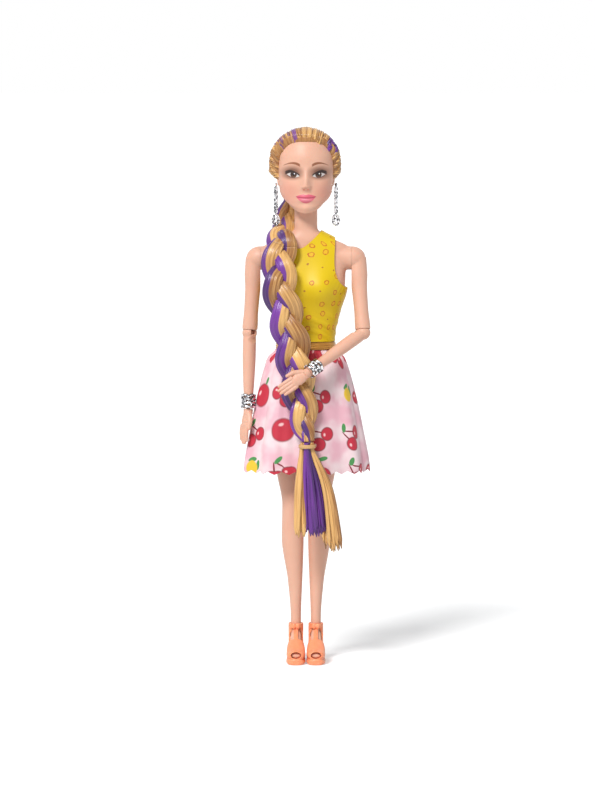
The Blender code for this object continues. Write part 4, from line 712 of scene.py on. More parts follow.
def head_wall_point(u, v):
    """Down the outside from the crown, through the neck hole and up the inside."""
    even = share_of_turn(u)
    angle = even - 0.35 * math.cos(even)
    if v == 0.0:
        return Vector((0, 0, crown_height))
    if v == 1.0:
        return Vector((0, 0, crown_height - head_wall * 2))
    outside = 0.84
    turned_in = 0.87
    inside = 0.88
    if v <= outside:
        return head_point(angle, 1.0 - v / outside)
    hole = Vector((neck_hole_radius * math.cos(angle), neck_setback + neck_hole_radius * math.sin(angle),
                   nape_height))
    if v <= turned_in:
        way = (v - outside) / (turned_in - outside)
        rim = head_point(angle, 0.0).lerp(hole, way)
        rim.z -= 0.0004 * math.sin(math.pi * way)
        return rim
    if v <= inside:
        return hole + Vector((0, 0, head_wall))
    share = 0.12 + 0.86 * (v - inside) / (1 - inside)
    return head_point(angle, share, -head_wall * 1.5, 0.4)


face_skin, shader, place, paint = skin_finish("face_vinyl")
spot = add_node("SeparateXYZ", {"Vector": place})
doll_x = Value(spot, "X") - doll_axis.x
side_x = maths("ABSOLUTE", doll_x)
face_z = Value(spot, "Z")
facing = maths("LESS_THAN", Value(spot, "Y"), doll_axis.y - 0.003)


def soft_step(value, start, end):
    """0 before start and 1 past end, eased."""
    inputs = {"Value": value, "From Min": start, "From Max": end}
    return Value(add_node("MapRange", inputs, interpolation_type="SMOOTHSTEP"))


def oval(x, z, centre, halves, blur):
    """1 inside an oval, with an edge that is blur wide for a radius of one."""
    dx = (x - centre[0]) / halves[0]
    dz = (z - centre[1]) / halves[1]
    return soft_step(maths("SQRT", dx * dx + dz * dz), 1.0 + blur, 1.0 - blur)


def bow(x, centre, half, height):
    """A curve that rises to height at the centre and is nought at both ends."""
    d = (x - centre) / half
    return (1.0 - d * d) * height


def band(z, low, high, blur):
    """1 between two curves."""
    return soft_step(z - low, -blur, blur) * soft_step(high - z, -blur, blur)


def patch(x, z, half_width, half_height, blur):
    """The same oval on both halves of the face."""
    return oval(side_x, face_z, (x, z), (half_width, half_height), blur)


eye_x = 0.0071
eye_half = 0.0036
mouth_half = 0.0056
rosy = (0.72, 0.20, 0.16, 1.0)
smoke = (0.16, 0.065, 0.040, 1.0)
umber = (0.10, 0.040, 0.025, 1.0)
eye_z = face_z - (eye_height - 0.0003) - (side_x - eye_x) * 0.13
lid = bow(side_x, eye_x, eye_half, 0.00145)
lower_lid = bow(side_x, eye_x, eye_half, -0.0012)
eye_ends = (soft_step(side_x, eye_x - eye_half, eye_x - eye_half * 0.95)
            * soft_step(side_x, eye_x + eye_half, eye_x + eye_half * 0.95))
opening = band(eye_z, lower_lid, lid, 0.00010) * eye_ends
iris_x = eye_x - 0.0002
iris_z = eye_height + 0.00005
face_layers = [
    # where, colour, strength
    (patch(0.0104, 0.2632, 0.0056, 0.0058, 0.8), rosy, 0.30),
    (patch(0.0076, 0.2746, 0.0052, 0.0028, 0.7), smoke, 0.90),
    (patch(0.0076, 0.2722, 0.0044, 0.0017, 0.7), smoke, 0.50),
    (opening, (0.62, 0.57, 0.55, 1.0), 1.0),
    (patch(iris_x, iris_z, 0.00178, 0.00178, 0.08) * opening, (0.030, 0.012, 0.008, 1.0), 1.0),
    (patch(iris_x, iris_z - 0.0007, 0.0011, 0.0008, 0.5) * opening, (0.17, 0.075, 0.04, 1.0), 0.7),
    (patch(iris_x, iris_z, 0.00075, 0.00075, 0.12) * opening, (0.006, 0.004, 0.003, 1.0), 1.0),
]
for eye in (-1, 1):
    glint = oval(doll_x, face_z, (eye * iris_x + 0.0005, iris_z + 0.0005), (0.00030, 0.00030), 0.2)
    face_layers.append((glint, white_colour, 1.0))
outward = soft_step(side_x, eye_x - eye_half, eye_x + eye_half * 1.25)
lash_low = bow(side_x, eye_x + 0.0002, eye_half * 1.12, 0.00145) - 0.0002
lash_high = lash_low + (outward * 0.0010 + 0.0009)
lash_ends = (soft_step(side_x, eye_x + eye_half * 1.34, eye_x + eye_half * 1.10)
             * soft_step(side_x, eye_x - eye_half * 1.08, eye_x - eye_half * 0.9))
lashes = band(eye_z, lash_low, lash_high, 0.00032) * lash_ends
under = band(eye_z, lower_lid - 0.0004, lower_lid + 0.00005, 0.00018)
under = under * (eye_ends * soft_step(side_x, eye_x - eye_half, eye_x + 0.001))
crease_low = bow(side_x, eye_x + 0.0002, eye_half * 1.2, 0.0032)
crease = band(eye_z, crease_low, crease_low + 0.0003, 0.0002) * lash_ends
brow_low = bow(side_x, 0.0084, 0.0062, 0.0023) + (eye_height + 0.0036)
brow_high = brow_low + soft_step(side_x, 0.0128, 0.0040) * 0.0012 + 0.0003
brow_ends = soft_step(side_x, 0.0029, 0.0038) * soft_step(side_x, 0.0130, 0.0118)
brow = band(face_z, brow_low, brow_high, 0.00022) * brow_ends
dip = maths("MAXIMUM", bow(side_x, 0.0, 0.0013, 0.00045), 0.0)
lip_top = bow(side_x, 0.0, mouth_half, 0.0023) - dip
lip_low = bow(side_x, 0.0, mouth_half, -0.0028)
lip_z = face_z - (side_x * side_x * 30.0 + lip_height)
lips = band(lip_z, lip_low, lip_top, 0.00022)
face_layers += [
    (lashes, (0.020, 0.009, 0.007, 1.0), 0.97),
    (under, umber, 0.85),
    (crease, umber, 0.55),
    (brow, (0.24, 0.075, 0.028, 1.0), 0.9),
    (lips, (0.66, 0.10, 0.17, 1.0), 0.95),
    # a paler oval on the lower lip: a painted highlight
    (oval(side_x, lip_z, (0.0, -0.0011), (0.0030, 0.0009), 0.8), (0.86, 0.30, 0.36, 1.0), 0.75),
    (band(lip_z, -0.00014, 0.00014, 0.00016) * lips, (0.30, 0.035, 0.06, 1.0), 0.9),
    (patch(0.0011, nose_height - 0.0021, 0.0006, 0.00032, 0.5), rosy, 0.9),
]
for where, colour, strength in face_layers:
    paint = mix_colours(where * facing * strength, paint, colour)
colour_with(shader, paint)

head = bent_grid(190, 170, head_wall_point)
stand(head, "head_skin", "head", face_skin, ("head_shell",))
ear_height = 0.2705
ear_setback = 0.0006
ear_radii = (0.0013, 0.0028, 0.0044)
ear_bowl_radii = (0.0008, 0.0016, 0.0026)
for sign, side in both_sides:
    centre = Vector((sign * head_half_width * 0.95, ear_setback, ear_height))
    turn = Matrix.Rotation(math.radians(-sign * 20), 3, "Z")
    bowl_centre = centre + Vector((sign * 0.0012, -0.0004, 0.0006))
    rim = cut(add_ball(centre, ear_radii, turn=turn), [add_ball(bowl_centre, ear_bowl_radii, turn=turn)])
    ear = melt([rim], 0.0002, 3)
    stand(ear, "ear_" + side, "head", body_skin)

# The arms: an upper arm on a flat seam at the shoulder, and a forearm whose round
# end turns in the dish at its lower end. Both are hard smooth vinyl.
shoulder_peg_radius = 0.0022
shoulder_peg_sink = 0.0030
elbow_ball_radius = 0.0041
elbow_rim_rise = 0.0018
elbow_stem_radius = 0.0013
elbow_stem_length = 0.0075
elbow_eye_radius = 0.0020
elbow_axle_radius = 0.0009
elbow_axle_half_length = 0.0030
elbow_relief = 0.0015
elbow_sweep = 80
elbow_slot_margin = 42
forearm_radius = 0.0037
wrist_radius = 0.0027
wrist_peg_radius = 0.0011
wrist_peg_length = 0.0060
shoulder_dome = (0.0078, 0.0066, 0.0066)
# the share of the way down the upper arm, and the radius there
upper_arm_rows = ((0.0, 0.0052), (0.2, 0.0052), (0.45, 0.0043), (0.75, 0.0040), (0.92, 0.0043), (1.0, 0.0043))
# the share of the way down the forearm, and the share of its radius there
forearm_rows = ((0.0, 0.90), (0.12, 1.0), (0.3, 1.0), (0.62, 0.865), (0.85, 0.73), (1.0, 0.73))
elbow_steps = {1: (0.0067, -0.0085, -0.0410), -1: (-0.0063, -0.0015, -0.0416)}
wrist_steps = {1: (-0.0305, -0.0215, -0.0204), -1: (-0.0008, -0.0048, -0.0420)}


def arm_places(sign):
    """The middles of the elbow and the wrist."""
    elbow = shoulder_at(sign * arm_seam) + Vector(elbow_steps[sign])
    return elbow, elbow + Vector(wrist_steps[sign])


def elbow_slot(elbow, hinge, fore):
    """The way that the elbow peg's stem sweeps through the forearm's round end."""
    far = elbow_ball_radius + elbow_rim_rise
    arcs = [(angle, far) for angle in range(-elbow_slot_margin, elbow_sweep + elbow_slot_margin + 1, 19)]
    arcs += [(arcs[-1][0] + step, elbow_eye_radius + fit_gap) for step in (0, 45, 90, 135)]
    outline = [elbow + Matrix.Rotation(math.radians(-angle), 3, hinge) @ (-fore) * reach
               for angle, reach in arcs]
    aside = hinge * (elbow_stem_radius + fit_gap)
    return add_prism([[point + step for point in outline] for step in (-aside, aside)])


for sign, side in both_sides:
    elbow, wrist = arm_places(sign)
    seam_x = sign * (arm_seam + fit_gap)
    top = shoulder_at(seam_x + sign * shoulder_peg_sink)
    down = (elbow - top).normalized()
    fore = (wrist - elbow).normalized()
    hinge = down.cross(fore).normalized()
    rim = elbow - down * elbow_rim_rise
    shaft = limb([(top.lerp(rim, share), radius, radius) for share, radius in upper_arm_rows], 36, 12)
    upper = melt([shaft, add_ball(shoulder_at(seam_x), shoulder_dome)], 0.00038, 4)
    flat_cut(upper, Vector((seam_x, 0, 0)), Vector((-sign, 0, 0)))
    mouth = shoulder_at(seam_x - sign * 0.002)
    cut(upper, [add_bar(mouth, top + Vector((sign * fit_gap, 0, 0)), shoulder_peg_radius + fit_gap),
                add_ball(elbow, elbow_ball_radius + fit_gap),
                add_bar(elbow, elbow - down * (elbow_stem_length + fit_gap), elbow_stem_radius + fit_gap)])
    stand_skin(upper, "upper_arm_skin_" + side, side + "_upper_arm", "upper_arm_" + side)

    shaft = limb([(elbow.lerp(wrist, share), forearm_radius * size, forearm_radius * size)
                  for share, size in forearm_rows], 36, 12)
    forearm = melt([shaft, add_ball(elbow, elbow_ball_radius)], 0.00034, 3)
    flat_cut(forearm, wrist - fore * 0.0001, fore)
    inner = (fore * down.dot(fore) - down).normalized()
    notch = elbow + fore * elbow_ball_radius + inner * (forearm_radius + elbow_relief * 0.9)
    axle_half = hinge * (elbow_axle_half_length + fit_gap)
    cut(forearm, [elbow_slot(elbow, hinge, fore),
                  add_bar(elbow - axle_half, elbow + axle_half, elbow_axle_radius + fit_gap),
                  add_bar(notch - hinge * 0.015, notch + hinge * 0.015, elbow_relief * 1.6),
                  add_bar(wrist + fore * fit_gap, wrist - fore * (wrist_peg_length + fit_gap),
                          wrist_peg_radius + fit_gap)])
    stand_skin(forearm, "forearm_skin_" + side, side + "_forearm", "forearm_" + side)

# The hands: soft vinyl with slim separate fingers, pushed on a peg at the wrist, where
# the bangles hide the seam.
palm_length = 0.0102
palm_half_width = 0.0036
palm_half_depth = 0.0017
finger_length = 0.0102
finger_radius = 0.00116
thumb_length = 0.0088
palm_rows = [
    # share of the palm's length, half width, half depth
    (0.0, 0.70, 1.15),
    (0.2, 0.80, 1.12),
    (0.45, 0.95, 1.05),
    (0.7, 1.0, 1.0),
    (1.0, 0.9, 0.85),
]
finger_rows = [
    # share of the finger's length, thickness, curl
    (0.0, 1.05, 0.0),
    (0.3, 1.06, 0.015),
    (0.38, 1.0, 0.02),
    (0.6, 0.98, 0.06),
    (0.68, 0.90, 0.08),
    (0.9, 0.80, 0.13),
    (1.0, 0.62, 0.155),
]
hand_lines = {1: (-0.0160, -0.0044, -0.0110), -1: (-0.0040, -0.0030, -0.0196)}
thumb_lines = {1: (-0.0110, 0.0, 0.0160), -1: (0.0090, -0.0150, 0.0)}

for sign, side in both_sides:
    elbow, wrist = arm_places(sign)
    arm_line = (wrist - elbow).normalized()
    start = wrist + arm_line * fit_gap
    fore = Vector(hand_lines[sign]).normalized()
    across = Vector(thumb_lines[sign])
    across = (across - fore * across.dot(fore)).normalized()
    curl = fore.cross(across).normalized() * sign
    palm_turn = Matrix((across, curl, fore)).transposed()
    parts = []
    for share, half, depth in palm_rows:
        radii = (palm_half_width * half, palm_half_depth * depth, palm_length * 0.26)
        parts.append(add_ball(start + fore * (palm_length * (0.12 + share * 0.76)), radii, 24, palm_turn))
    parts.append(add_bar(start, start + arm_line * 0.0030, wrist_radius * 0.97))
    root = start + fore * (palm_length * 0.88)
    for place, length in ((-0.72, 0.82), (-0.24, 0.98), (0.24, 1.0), (0.72, 0.86)):
        base = root + across * (palm_half_width * place)
        reach = finger_length * length
        bend = []
        for share, thick, curled in finger_rows:
            middle = (base + fore * (reach * 0.99 * share) + curl * (reach * curled)
                      + across * (palm_half_width * place * 0.08 * share))
            bend.append((middle, finger_radius * thick, finger_radius * thick * 0.95))
        parts.append(limb(bend, 16, 3))
        parts.append(add_ball(bend[-1][0], finger_radius * 0.66, 16))
    thumb_base = start + fore * (palm_length * 0.22) + across * (palm_half_width * 0.5)
    thumb_mid = thumb_base + fore * (thumb_length * 0.5) + across * (thumb_length * 0.30)
    thumb_tip = thumb_base + fore * (thumb_length * 0.98) + across * (thumb_length * 0.38)
    parts.append(limb([(thumb_base, finger_radius * 1.35, finger_radius * 1.35),
                       (thumb_mid, finger_radius * 1.25, finger_radius * 1.15),
                       (thumb_mid.lerp(thumb_tip, 0.6), finger_radius * 1.1, finger_radius),
                       (thumb_tip, finger_radius * 0.8, finger_radius * 0.75)], 16, 4))
    parts.append(add_ball(thumb_tip, finger_radius * 0.8, 16))
    hand = melt(parts, 0.00021, 2)
    flat_cut(hand, start, -arm_line)
    peg_end = start + arm_line * (wrist_peg_length / 3 + fit_gap)
    cut(hand, [add_bar(wrist - arm_line * 0.001, peg_end, wrist_peg_radius + fit_gap)])
    stand_skin(hand, "hand_skin_" + side, side + "_hand", "hand_" + side)

# The bangles: on each wrist one cast set of four thin wavy hoops with small beads
# between them, vacuum-plated bright silver.
bangle_width = 0.0076
bangle_wall = 0.0008
hoop_wire = 0.00074
hoop_weave = 0.00026
bangle_bead = 0.00066
bright_silver, tree, shader = start_finish("bright_silver", Metallic=1.0, Roughness=0.16)
place = object_place(tree)
# dark patches at random over the bright plating are painted dark reflections
painted_dark_reflections = soft_step(noise_of(place, 850.0, 1.0), 0.42, 0.56)
colour_with(shader, mix_colours(painted_dark_reflections, (0.12, 0.12, 0.13, 1.0), (0.88, 0.88, 0.90, 1.0)))
emboss(shader, noise_of(place, 2600.0), 0.00004, 0.5)
for sign, side in both_sides:
    coat(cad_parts["ear_stud_" + side], bright_silver)


def wavy_hoop(centre, side, across, axis, radius, wire, swing, phase, waves=5):
    """A closed wire ring that weaves to and fro along its axis."""
    def place(u, v):
        c, s = once_round(v)
        wire_c, wire_s = once_round(u)
        weave = swing * math.sin(waves * share_of_turn(v) + phase)
        return (centre + (side * c + across * s) * (radius + wire * wire_c)
                + axis * (wire * 1.1 * wire_s + weave))
    return bent_grid(8, 96, place)


for sign, side in both_sides:
    elbow, wrist = arm_places(sign)
    fore = (wrist - elbow).normalized()
    right = (Vector((1, 0, 0)) - fore * fore.x).normalized()
    across = fore.cross(right)
    radius = wrist_radius + fit_gap + bangle_wall * 0.62
    start = wrist - fore * (bangle_width + fit_gap)
    hoops = []
    for index, share in enumerate((0.09, 0.36, 0.63, 0.90)):
        middle = start + fore * (bangle_width * share)
        hoops.append(wavy_hoop(middle, right, across, fore, radius + 0.00008 * (index % 2), hoop_wire,
                               hoop_weave, 2.1 * index))
    for index in range(12):
        c, s = once_round(index / 12)
        share = (0.225, 0.495, 0.765)[index % 3]
        bead = start + fore * (bangle_width * share) + (right * c + across * s) * radius
        hoops.append(add_ball(bead, bangle_bead, 12))
    stand(joined(hoops), "bangle_set_" + side, side + "_bangles", bright_silver,
          ("bangles_" + side,))

# The shoes: soft moulded vinyl sandals, each in one piece, with a platform, a block
# heel, a toe box with a peep hole, a T-bar and an ankle strap with a raised join.
shoe_wall = 0.0010
sole_half_width = 0.0053
platform_height = 0.0031
strap_width = 0.0028
t_bar_half_width = 0.0013
peep_half_width = 0.0030
peep_half_height = 0.0019
strap_top = 0.0209
strap_room = 0.015
strap_reach = 0.03
toe_cap_radii = (0.0053, 0.0066, 0.0046)
knot_radii = (0.0011, 0.0007, 0.0016)
knot_spread = 0.0011
sole_levels = [
    # way from heel to toe, half width, bottom, top
    (0.0, 0.6, 0.0, 1.0),
    (0.04, 0.8, 0.0, 1.0),
    (0.2, 0.8, 0.0, 1.0),
    (0.24, 0.78, 0.55, 1.0),
    (0.42, 0.8, 0.40, 0.72),
    (0.6, 0.94, 0.0, 0.32),
    (0.78, 1.02, 0.0, 0.0),
    (0.90, 0.90, 0.0, 0.0),
    (0.97, 0.66, 0.0, 0.0),
    (1.0, 0.38, 0.0, 0.0),
]
shoe_vinyl, tree, shader = start_finish("peach_vinyl", Roughness=0.38, Subsurface_Weight=0.15,
                                        Subsurface_Scale=0.001)
place = object_place(tree)
colour_with(shader, mix_colours(noise_of(place, 260.0), (0.90, 0.28, 0.13, 1.0), (0.96, 0.36, 0.18, 1.0)))
emboss(shader, noise_of(place, 3000.0), 0.00002, 0.4)


def sole_block(sign):
    """The platform and the heel, from the heel's back to the toe."""
    back = heel_reach + shoe_wall + fit_gap * 2
    length = back + toe_reach + shoe_wall + fit_gap * 2
    seat = heel_centre_height - foot_half_height * 0.6

    def place(u, v):
        half, bottom, top = between_levels(sole_levels, v)
        low = (seat - platform_height) * bottom
        high = platform_height + (seat - platform_height) * top
        c, s = once_round(u)
        corner = max(abs(c), abs(s)) ** (0.9 if v < 0.5 else 0.62)
        return Vector((sign * foot_spacing + sole_half_width * half * c / corner, back - length * v,
                       (low + high) / 2 + (high - low) / 2 * s / corner))
    return bent_grid(64, 110, place, cap=True)


for sign, side in both_sides:
    x = sign * foot_spacing
    low = ankle_height - ankle_half_width * 2.9
    grown = shoe_wall + fit_gap
    upper = melt([leg_column(sign, grown, low, ankle_height + 0.004, 30), foot_moulding(sign, grown)],
                 0.0003, 2)
    strap_low = strap_top - strap_width
    low_x = x - strap_room
    high_x = x + strap_room
    regions = add_box((low_x, -strap_reach, -fit_gap), (high_x, -toe_reach * 0.40, strap_low - 0.0052))
    t_bar = add_box((x - t_bar_half_width, -strap_reach, toe_centre_height),
                    (x + t_bar_half_width, ankle_setback, strap_top - fit_gap))
    strap = add_box((low_x, -0.01, strap_low), (high_x, strap_reach, strap_top))
    counter = add_box((low_x, heel_reach * 0.15, -fit_gap), (high_x, strap_reach, strap_low + fit_gap))
    cut(regions, [t_bar, strap, counter], "UNION")
    cut(upper, [regions], "INTERSECT")
    knot_place = Vector((x, ankle_setback - ankle_half_depth - 0.0013, strap_top - strap_width / 2))
    knot = [add_ball(knot_place + Vector((step, 0, 0)), knot_radii, 20)
            for step in (-knot_spread, knot_spread)]
    toe_cap = add_ball(Vector((x, -toe_reach * 0.60, toe_centre_height)), toe_cap_radii, 48)
    flat_cut(toe_cap, Vector((0, 0, 0.0004)), Vector((0, 0, -1)))
    shoe = melt([upper, sole_block(sign), toe_cap, *knot], 0.00022, 4)
    inside = leg_column(sign, fit_gap, low - fit_gap, ankle_height + 0.006, 30)
    hollow = melt([inside, foot_moulding(sign, fit_gap)], 0.0003, 2)
    peep = add_ball(Vector((x, -toe_reach - shoe_wall, toe_centre_height + fit_gap)),
                    (peep_half_width, shoe_wall * 4, peep_half_height), 32)
    cut(shoe, [hollow, peep])
    stand(shoe, "sandal_" + side, side + "_leg", shoe_vinyl, ("shoe_" + side,), 60)

# The bodice: a stretchy bright yellow one-shoulder top with printed orange-red rings
# and specks, closed by a narrow strip down the back.
bodice_low = 0.1802
bodice_high = 0.2416
bodice_girth = 0.125
cloth_thickness = 0.0007
strap_inner = 0.0087
strap_outer = 0.0163


def curve_through(points, steps=8):
    """A smooth curve through flat points, as pairs, or through points in space, as vectors."""
    curve = []
    for k in range(len(points) - 1):
        a, b, c, d = (points[max(0, min(len(points) - 1, k + step))] for step in (-1, 0, 1, 2))
        for step in range(steps):
            t = step / steps
            curve.append(tuple(0.5 * (2 * q + (r - p) * t + (2 * p - 5 * q + 4 * r - s) * t * t
                                      + (3 * q - p - 3 * r + s) * t ** 3)
                               for p, q, r, s in zip(a, b, c, d)))
    curve.append(tuple(points[-1]))
    return [Vector(point) for point in curve] if len(points[0]) == 3 else curve


def bodice_wall(u, v):
    """Cloth close round the chest, with small creases at the waist and under the bust."""
    angle = share_of_turn(u)
    height = bodice_low + (bodice_high - bodice_low) * v
    waist = 0.00034 * math.sin(height * 1000 + 7 * math.cos(angle - 0.6)) * bell(height - 0.187, 0.009)
    beside = bell(height - 0.2110, 0.006) * bell(math.cos(angle) - 0.9, 0.25)
    crease = waist + 0.00022 * math.sin(height * 1500 - 40 * angle) * beside
    return torso_offset(angle, height, 0.00062 + max(0.0, crease))


def through_prism(outline):
    """A prism along the view's depth from an outline in x and z."""
    return add_prism([[Vector((x, y, z)) for x, z in outline] for y in (-0.05, 0.05)])


bodice = bent_grid(180, 110, bodice_wall)
apply_modifier(bodice, "SOLIDIFY", thickness=cloth_thickness, offset=1.0)
arm_edge = [(strap_outer, 0.2350), (0.0159, 0.2290), (0.0160, 0.2210), (0.0178, 0.2150), (0.0208, 0.2112),
            (0.0232, 0.2100)]
neck_edge = [(-0.0232, 0.2112), (-0.0190, 0.2160), (-0.0130, 0.2252), (-0.0075, 0.2312), (-0.0017, 0.2326),
             (0.0036, 0.2368), (strap_inner, 0.2418)]
armhole = [(strap_outer, 0.26), *curve_through(arm_edge), (0.05, 0.2100), (0.05, 0.26)]
neckline = [(-0.05, 0.26), (-0.05, 0.2110), *curve_through(neck_edge), (0.0100, 0.26)]
cut(bodice, [through_prism(armhole), through_prism(neckline)])


def vector_maths(operation, first, second):
    return Value(add_node("VectorMath", {0: first, 1: second}, operation=operation))


def cells_of(place, scale, uneven):
    """Flat cells scattered over a print, with their random colours split in three."""
    inputs = {"Vector": place, "Scale": scale, "Randomness": uneven}
    cells = add_node("TexVoronoi", inputs, voronoi_dimensions="2D")
    split = add_node("SeparateColor", {"Color": Value(cells, "Color")})
    return (cells, *(Value(split, part) for part in ("Red", "Green", "Blue")))


bodice_print, tree, shader = start_finish("bodice_print", Roughness=0.46, Specular_IOR_Level=0.35)
flat_map = map_place(tree, bodice_girth, bodice_high - bodice_low, 1.0)
wobble = Value(add_node("TexNoise", {"Vector": flat_map, "Scale": 700.0}), "Color")
printed = vector_maths("ADD", flat_map, vector_maths("MULTIPLY", wobble, (0.0011, 0.0011, 0.0)))
ring_cells, kind, size, _ = cells_of(printed, 150.0, 0.55)
away = Value(ring_cells, "Distance")
ringed = maths("GREATER_THAN", kind, 0.42)
inside = away - (size * 0.06 + 0.145)
ring_mask = soft_step(inside, 0.044, 0.022) * soft_step(inside, -0.044, -0.022) * ringed
core_mask = soft_step(inside, -0.02, -0.045) * ringed
specks = soft_step(away, 0.085, 0.055) * (1.0 - ringed)
colour = mix_colours(noise_of(flat_map, 60.0), (0.66, 0.45, 0.002, 1.0), (0.76, 0.54, 0.003, 1.0))
for share, ink in ((core_mask * 0.45, (0.84, 0.40, 0.03, 1.0)), (ring_mask * 0.95, (0.52, 0.11, 0.01, 1.0)),
                   (specks * 0.85, (0.36, 0.10, 0.02, 1.0))):
    colour = mix_colours(share, colour, ink)
colour_with(shader, colour)
knit = add_node("TexWave", {"Vector": flat_map, "Scale": 520.0, "Distortion": 0.6})
emboss(shader, Value(knit, "Fac"), 0.00002, 0.35)
stand(bodice, "bodice_cloth", "torso", bodice_print, ("bodice",), 50)

closure_width = 0.0050
closure_thickness = 0.0008
strip_tape, tree, shader = start_finish("closure_tape", Roughness=0.75)
place = object_place(tree)
colour_with(shader, mix_colours(noise_of(place, 900.0), (0.80, 0.79, 0.75, 1.0), (0.90, 0.89, 0.86, 1.0)))
loops = add_node("TexVoronoi", {"Vector": place, "Scale": 2200.0})
emboss(shader, Value(loops, "Distance"), 0.00005, 0.7)


def closure_strip(name, middle_at, replaced):
    """A flat tape with rounded ends and edges down the back's middle."""
    def place(u, v):
        c, s = once_round(u)
        square = max(abs(c), abs(s)) ** 0.92
        ends = min(1.0, 0.75 + 8 * min(v, 1 - v))
        return middle_at(v) + Vector((closure_width / 2 * ends * c / square,
                                      closure_thickness / 2 * (1 + s / square), 0))
    strip = bent_grid(48, 60, place, cap=True)
    return stand(strip, name, "torso", strip_tape, (replaced,), 50)


def bodice_back(v):
    low = bodice_low + cloth_thickness
    return torso_offset(math.pi / 2, low + (armpit_height - low) * v, 0.0016)


closure_strip("bodice_tape", bodice_back, "bodice_closure")

# The belt: a strip of gold satin gathered round the waist in lengthwise folds.
belt_width = 0.0042
belt_thickness = 0.0012
skirt_top = 0.1754


def belt_wall(u, v):
    """The band's loop round its section; its outer side swells in folds that wander."""
    angle = share_of_turn(u)
    along, outside = once_round(v)
    height = skirt_top + fit_gap + belt_width / 2 * (1 - along)
    wander = 2.4 * math.sin(angle * 3 + 1.0) + 0.8 * math.sin(angle * 11)
    folds = 0.5 + 0.5 * math.sin(height * 5200 + wander)
    swell = max(0.0, outside) ** 0.45
    return torso_offset(angle, height, 0.00042 + belt_thickness * swell * (0.62 + 0.38 * folds))


belt = bent_grid(260, 72, belt_wall)
gold_satin, tree, shader = start_finish("gold_satin", Roughness=0.30, Metallic=0.35, Sheen_Weight=0.2)
map_at = map_place(tree, 16.0, 7.0, 1.0)
colour_with(shader, mix_colours(noise_of(map_at, 1.0), (0.30, 0.12, 0.010, 1.0), (0.66, 0.35, 0.060, 1.0)))
emboss(shader, noise_of(map_at, 6.0, 3.0), 0.00006, 0.5)
stand(belt, "belt_satin", "torso", gold_satin, ("belt_band",))

# The skirt: thin pale pink cotton with a pinked hem, gathered under the belt, printed
# with red dots, cherries and green leaves; a tape closes it at the back.
skirt_length = 0.072
hem_girth = 0.196
hem_height = 0.1070
hem_half_width = 0.0338
hem_half_depth = 0.0218
fold_depth = 0.0014
fold_count = 9
hem_teeth = 27
hem_tooth = 0.0017
skirt_levels = [(0.0, 0.0), (0.07, 0.25), (0.33, 0.55), (0.65, 0.80), (1.0, 1.0)]


def skirt_point(angle, share, out):
    """The skirt's cloth; share runs from the belt down to the hem."""
    flare = between_levels(skirt_levels, share)[0]
    top = torso_offset(angle, skirt_top, fit_gap * 1.4)
    c = math.cos(angle)
    s = math.sin(angle)
    fold = fold_depth * share ** 0.8 * math.cos(angle * fold_count + 0.8 * math.sin(angle * 2))
    fold += 0.00035 * share ** 0.5 * math.sin(angle * 23 + 2 * math.sin(angle * 3)) * (1 - share * 0.6)
    saw = abs(((angle * hem_teeth / (2 * math.pi)) % 1.0) * 2 - 1)
    height = skirt_top + (hem_height - skirt_top) * share + hem_tooth * share ** 14 * (1 - saw)
    outward = Vector((c, s * 1.2, 0)).normalized()
    x = top.x + (hem_half_width * c - top.x) * flare
    y = top.y + (hem_half_depth * s - top.y) * flare
    return Vector((x, y, height)) + outward * (fold + out)


def skirt_wall(u, v):
    """The skirt from hem to belt, with the fine gathers under the belt."""
    angle = share_of_turn(u)
    gather = 0.00028 * math.sin(61 * angle + 3 * math.sin(7 * angle)) * bell(1 - v, 0.12)
    return skirt_point(angle, 1 - v, 0.0003 + gather)


skirt = bent_grid(432, 90, skirt_wall)
apply_modifier(skirt, "SOLIDIFY", thickness=0.0004, offset=1.0)
skirt_print, tree, shader = start_finish("skirt_print", Roughness=0.62, Sheen_Weight=0.05)
flat_map = map_place(tree, hem_girth, skirt_length, 1.0)
# the cloth's pink and a paler pink in soft random patches; the paler patches are painted light, standing in
# for light on the folds
mottle = soft_step(noise_of(flat_map, 70.0), 0.35, 0.65)
colour = mix_colours(mottle, (0.76, 0.42, 0.49, 1.0), (0.84, 0.66, 0.68, 1.0))
cells, kind, lean, fruit = cells_of(flat_map, 46.0, 0.30)
from_middle = vector_maths("SUBTRACT", flat_map, Value(cells, "Position"))
leaned = add_node("VectorRotate", {"Vector": from_middle, "Angle": (lean - 0.5) * 2.4},
                  rotation_type="Z_AXIS")
shrunk = add_node("VectorMath", {0: Value(leaned), "Scale": 0.78}, operation="SCALE")
split = add_node("SeparateXYZ", {"Vector": Value(shrunk)})
print_x = Value(split, "X")
print_y = Value(split, "Y")
print_red = (0.52, 0.020, 0.045, 1.0)
print_dark = (0.20, 0.010, 0.020, 1.0)
print_green = (0.06, 0.26, 0.07, 1.0)
print_shine = (0.90, 0.55, 0.55, 1.0)
print_yellow = (0.80, 0.52, 0.03, 1.0)
pair = maths("LESS_THAN", kind, 0.46)
single = maths("COMPARE", kind, 0.60, 0.14)
sprig = maths("GREATER_THAN", kind, 0.74)
golden = sprig * maths("GREATER_THAN", fruit, 0.55)
motifs = [
    # the cells that have it, middle, radii, ink, turn, softness of its edge
    (pair, (-0.0012, 0.0022), (0.0030, 0.00034), print_dark, 1.15, 0.12),
    (pair, (0.0016, 0.0020), (0.0030, 0.00034), print_dark, 1.95, 0.12),
    (pair, (0.0020, 0.0048), (0.0021, 0.0010), print_green, 0.35, 0.12),
]
for x, y in ((-0.0030, -0.0016), (0.0031, -0.0026)):
    motifs += [
        (pair, (x, y), (0.0032, 0.0031), print_dark, 0.0, 0.12),
        (pair, (x, y), (0.0028, 0.0027), print_red, 0.0, 0.12),
        (pair, (x - 0.0010, y + 0.0010), (0.0007, 0.0005), print_shine, 0.6, 0.5),
    ]
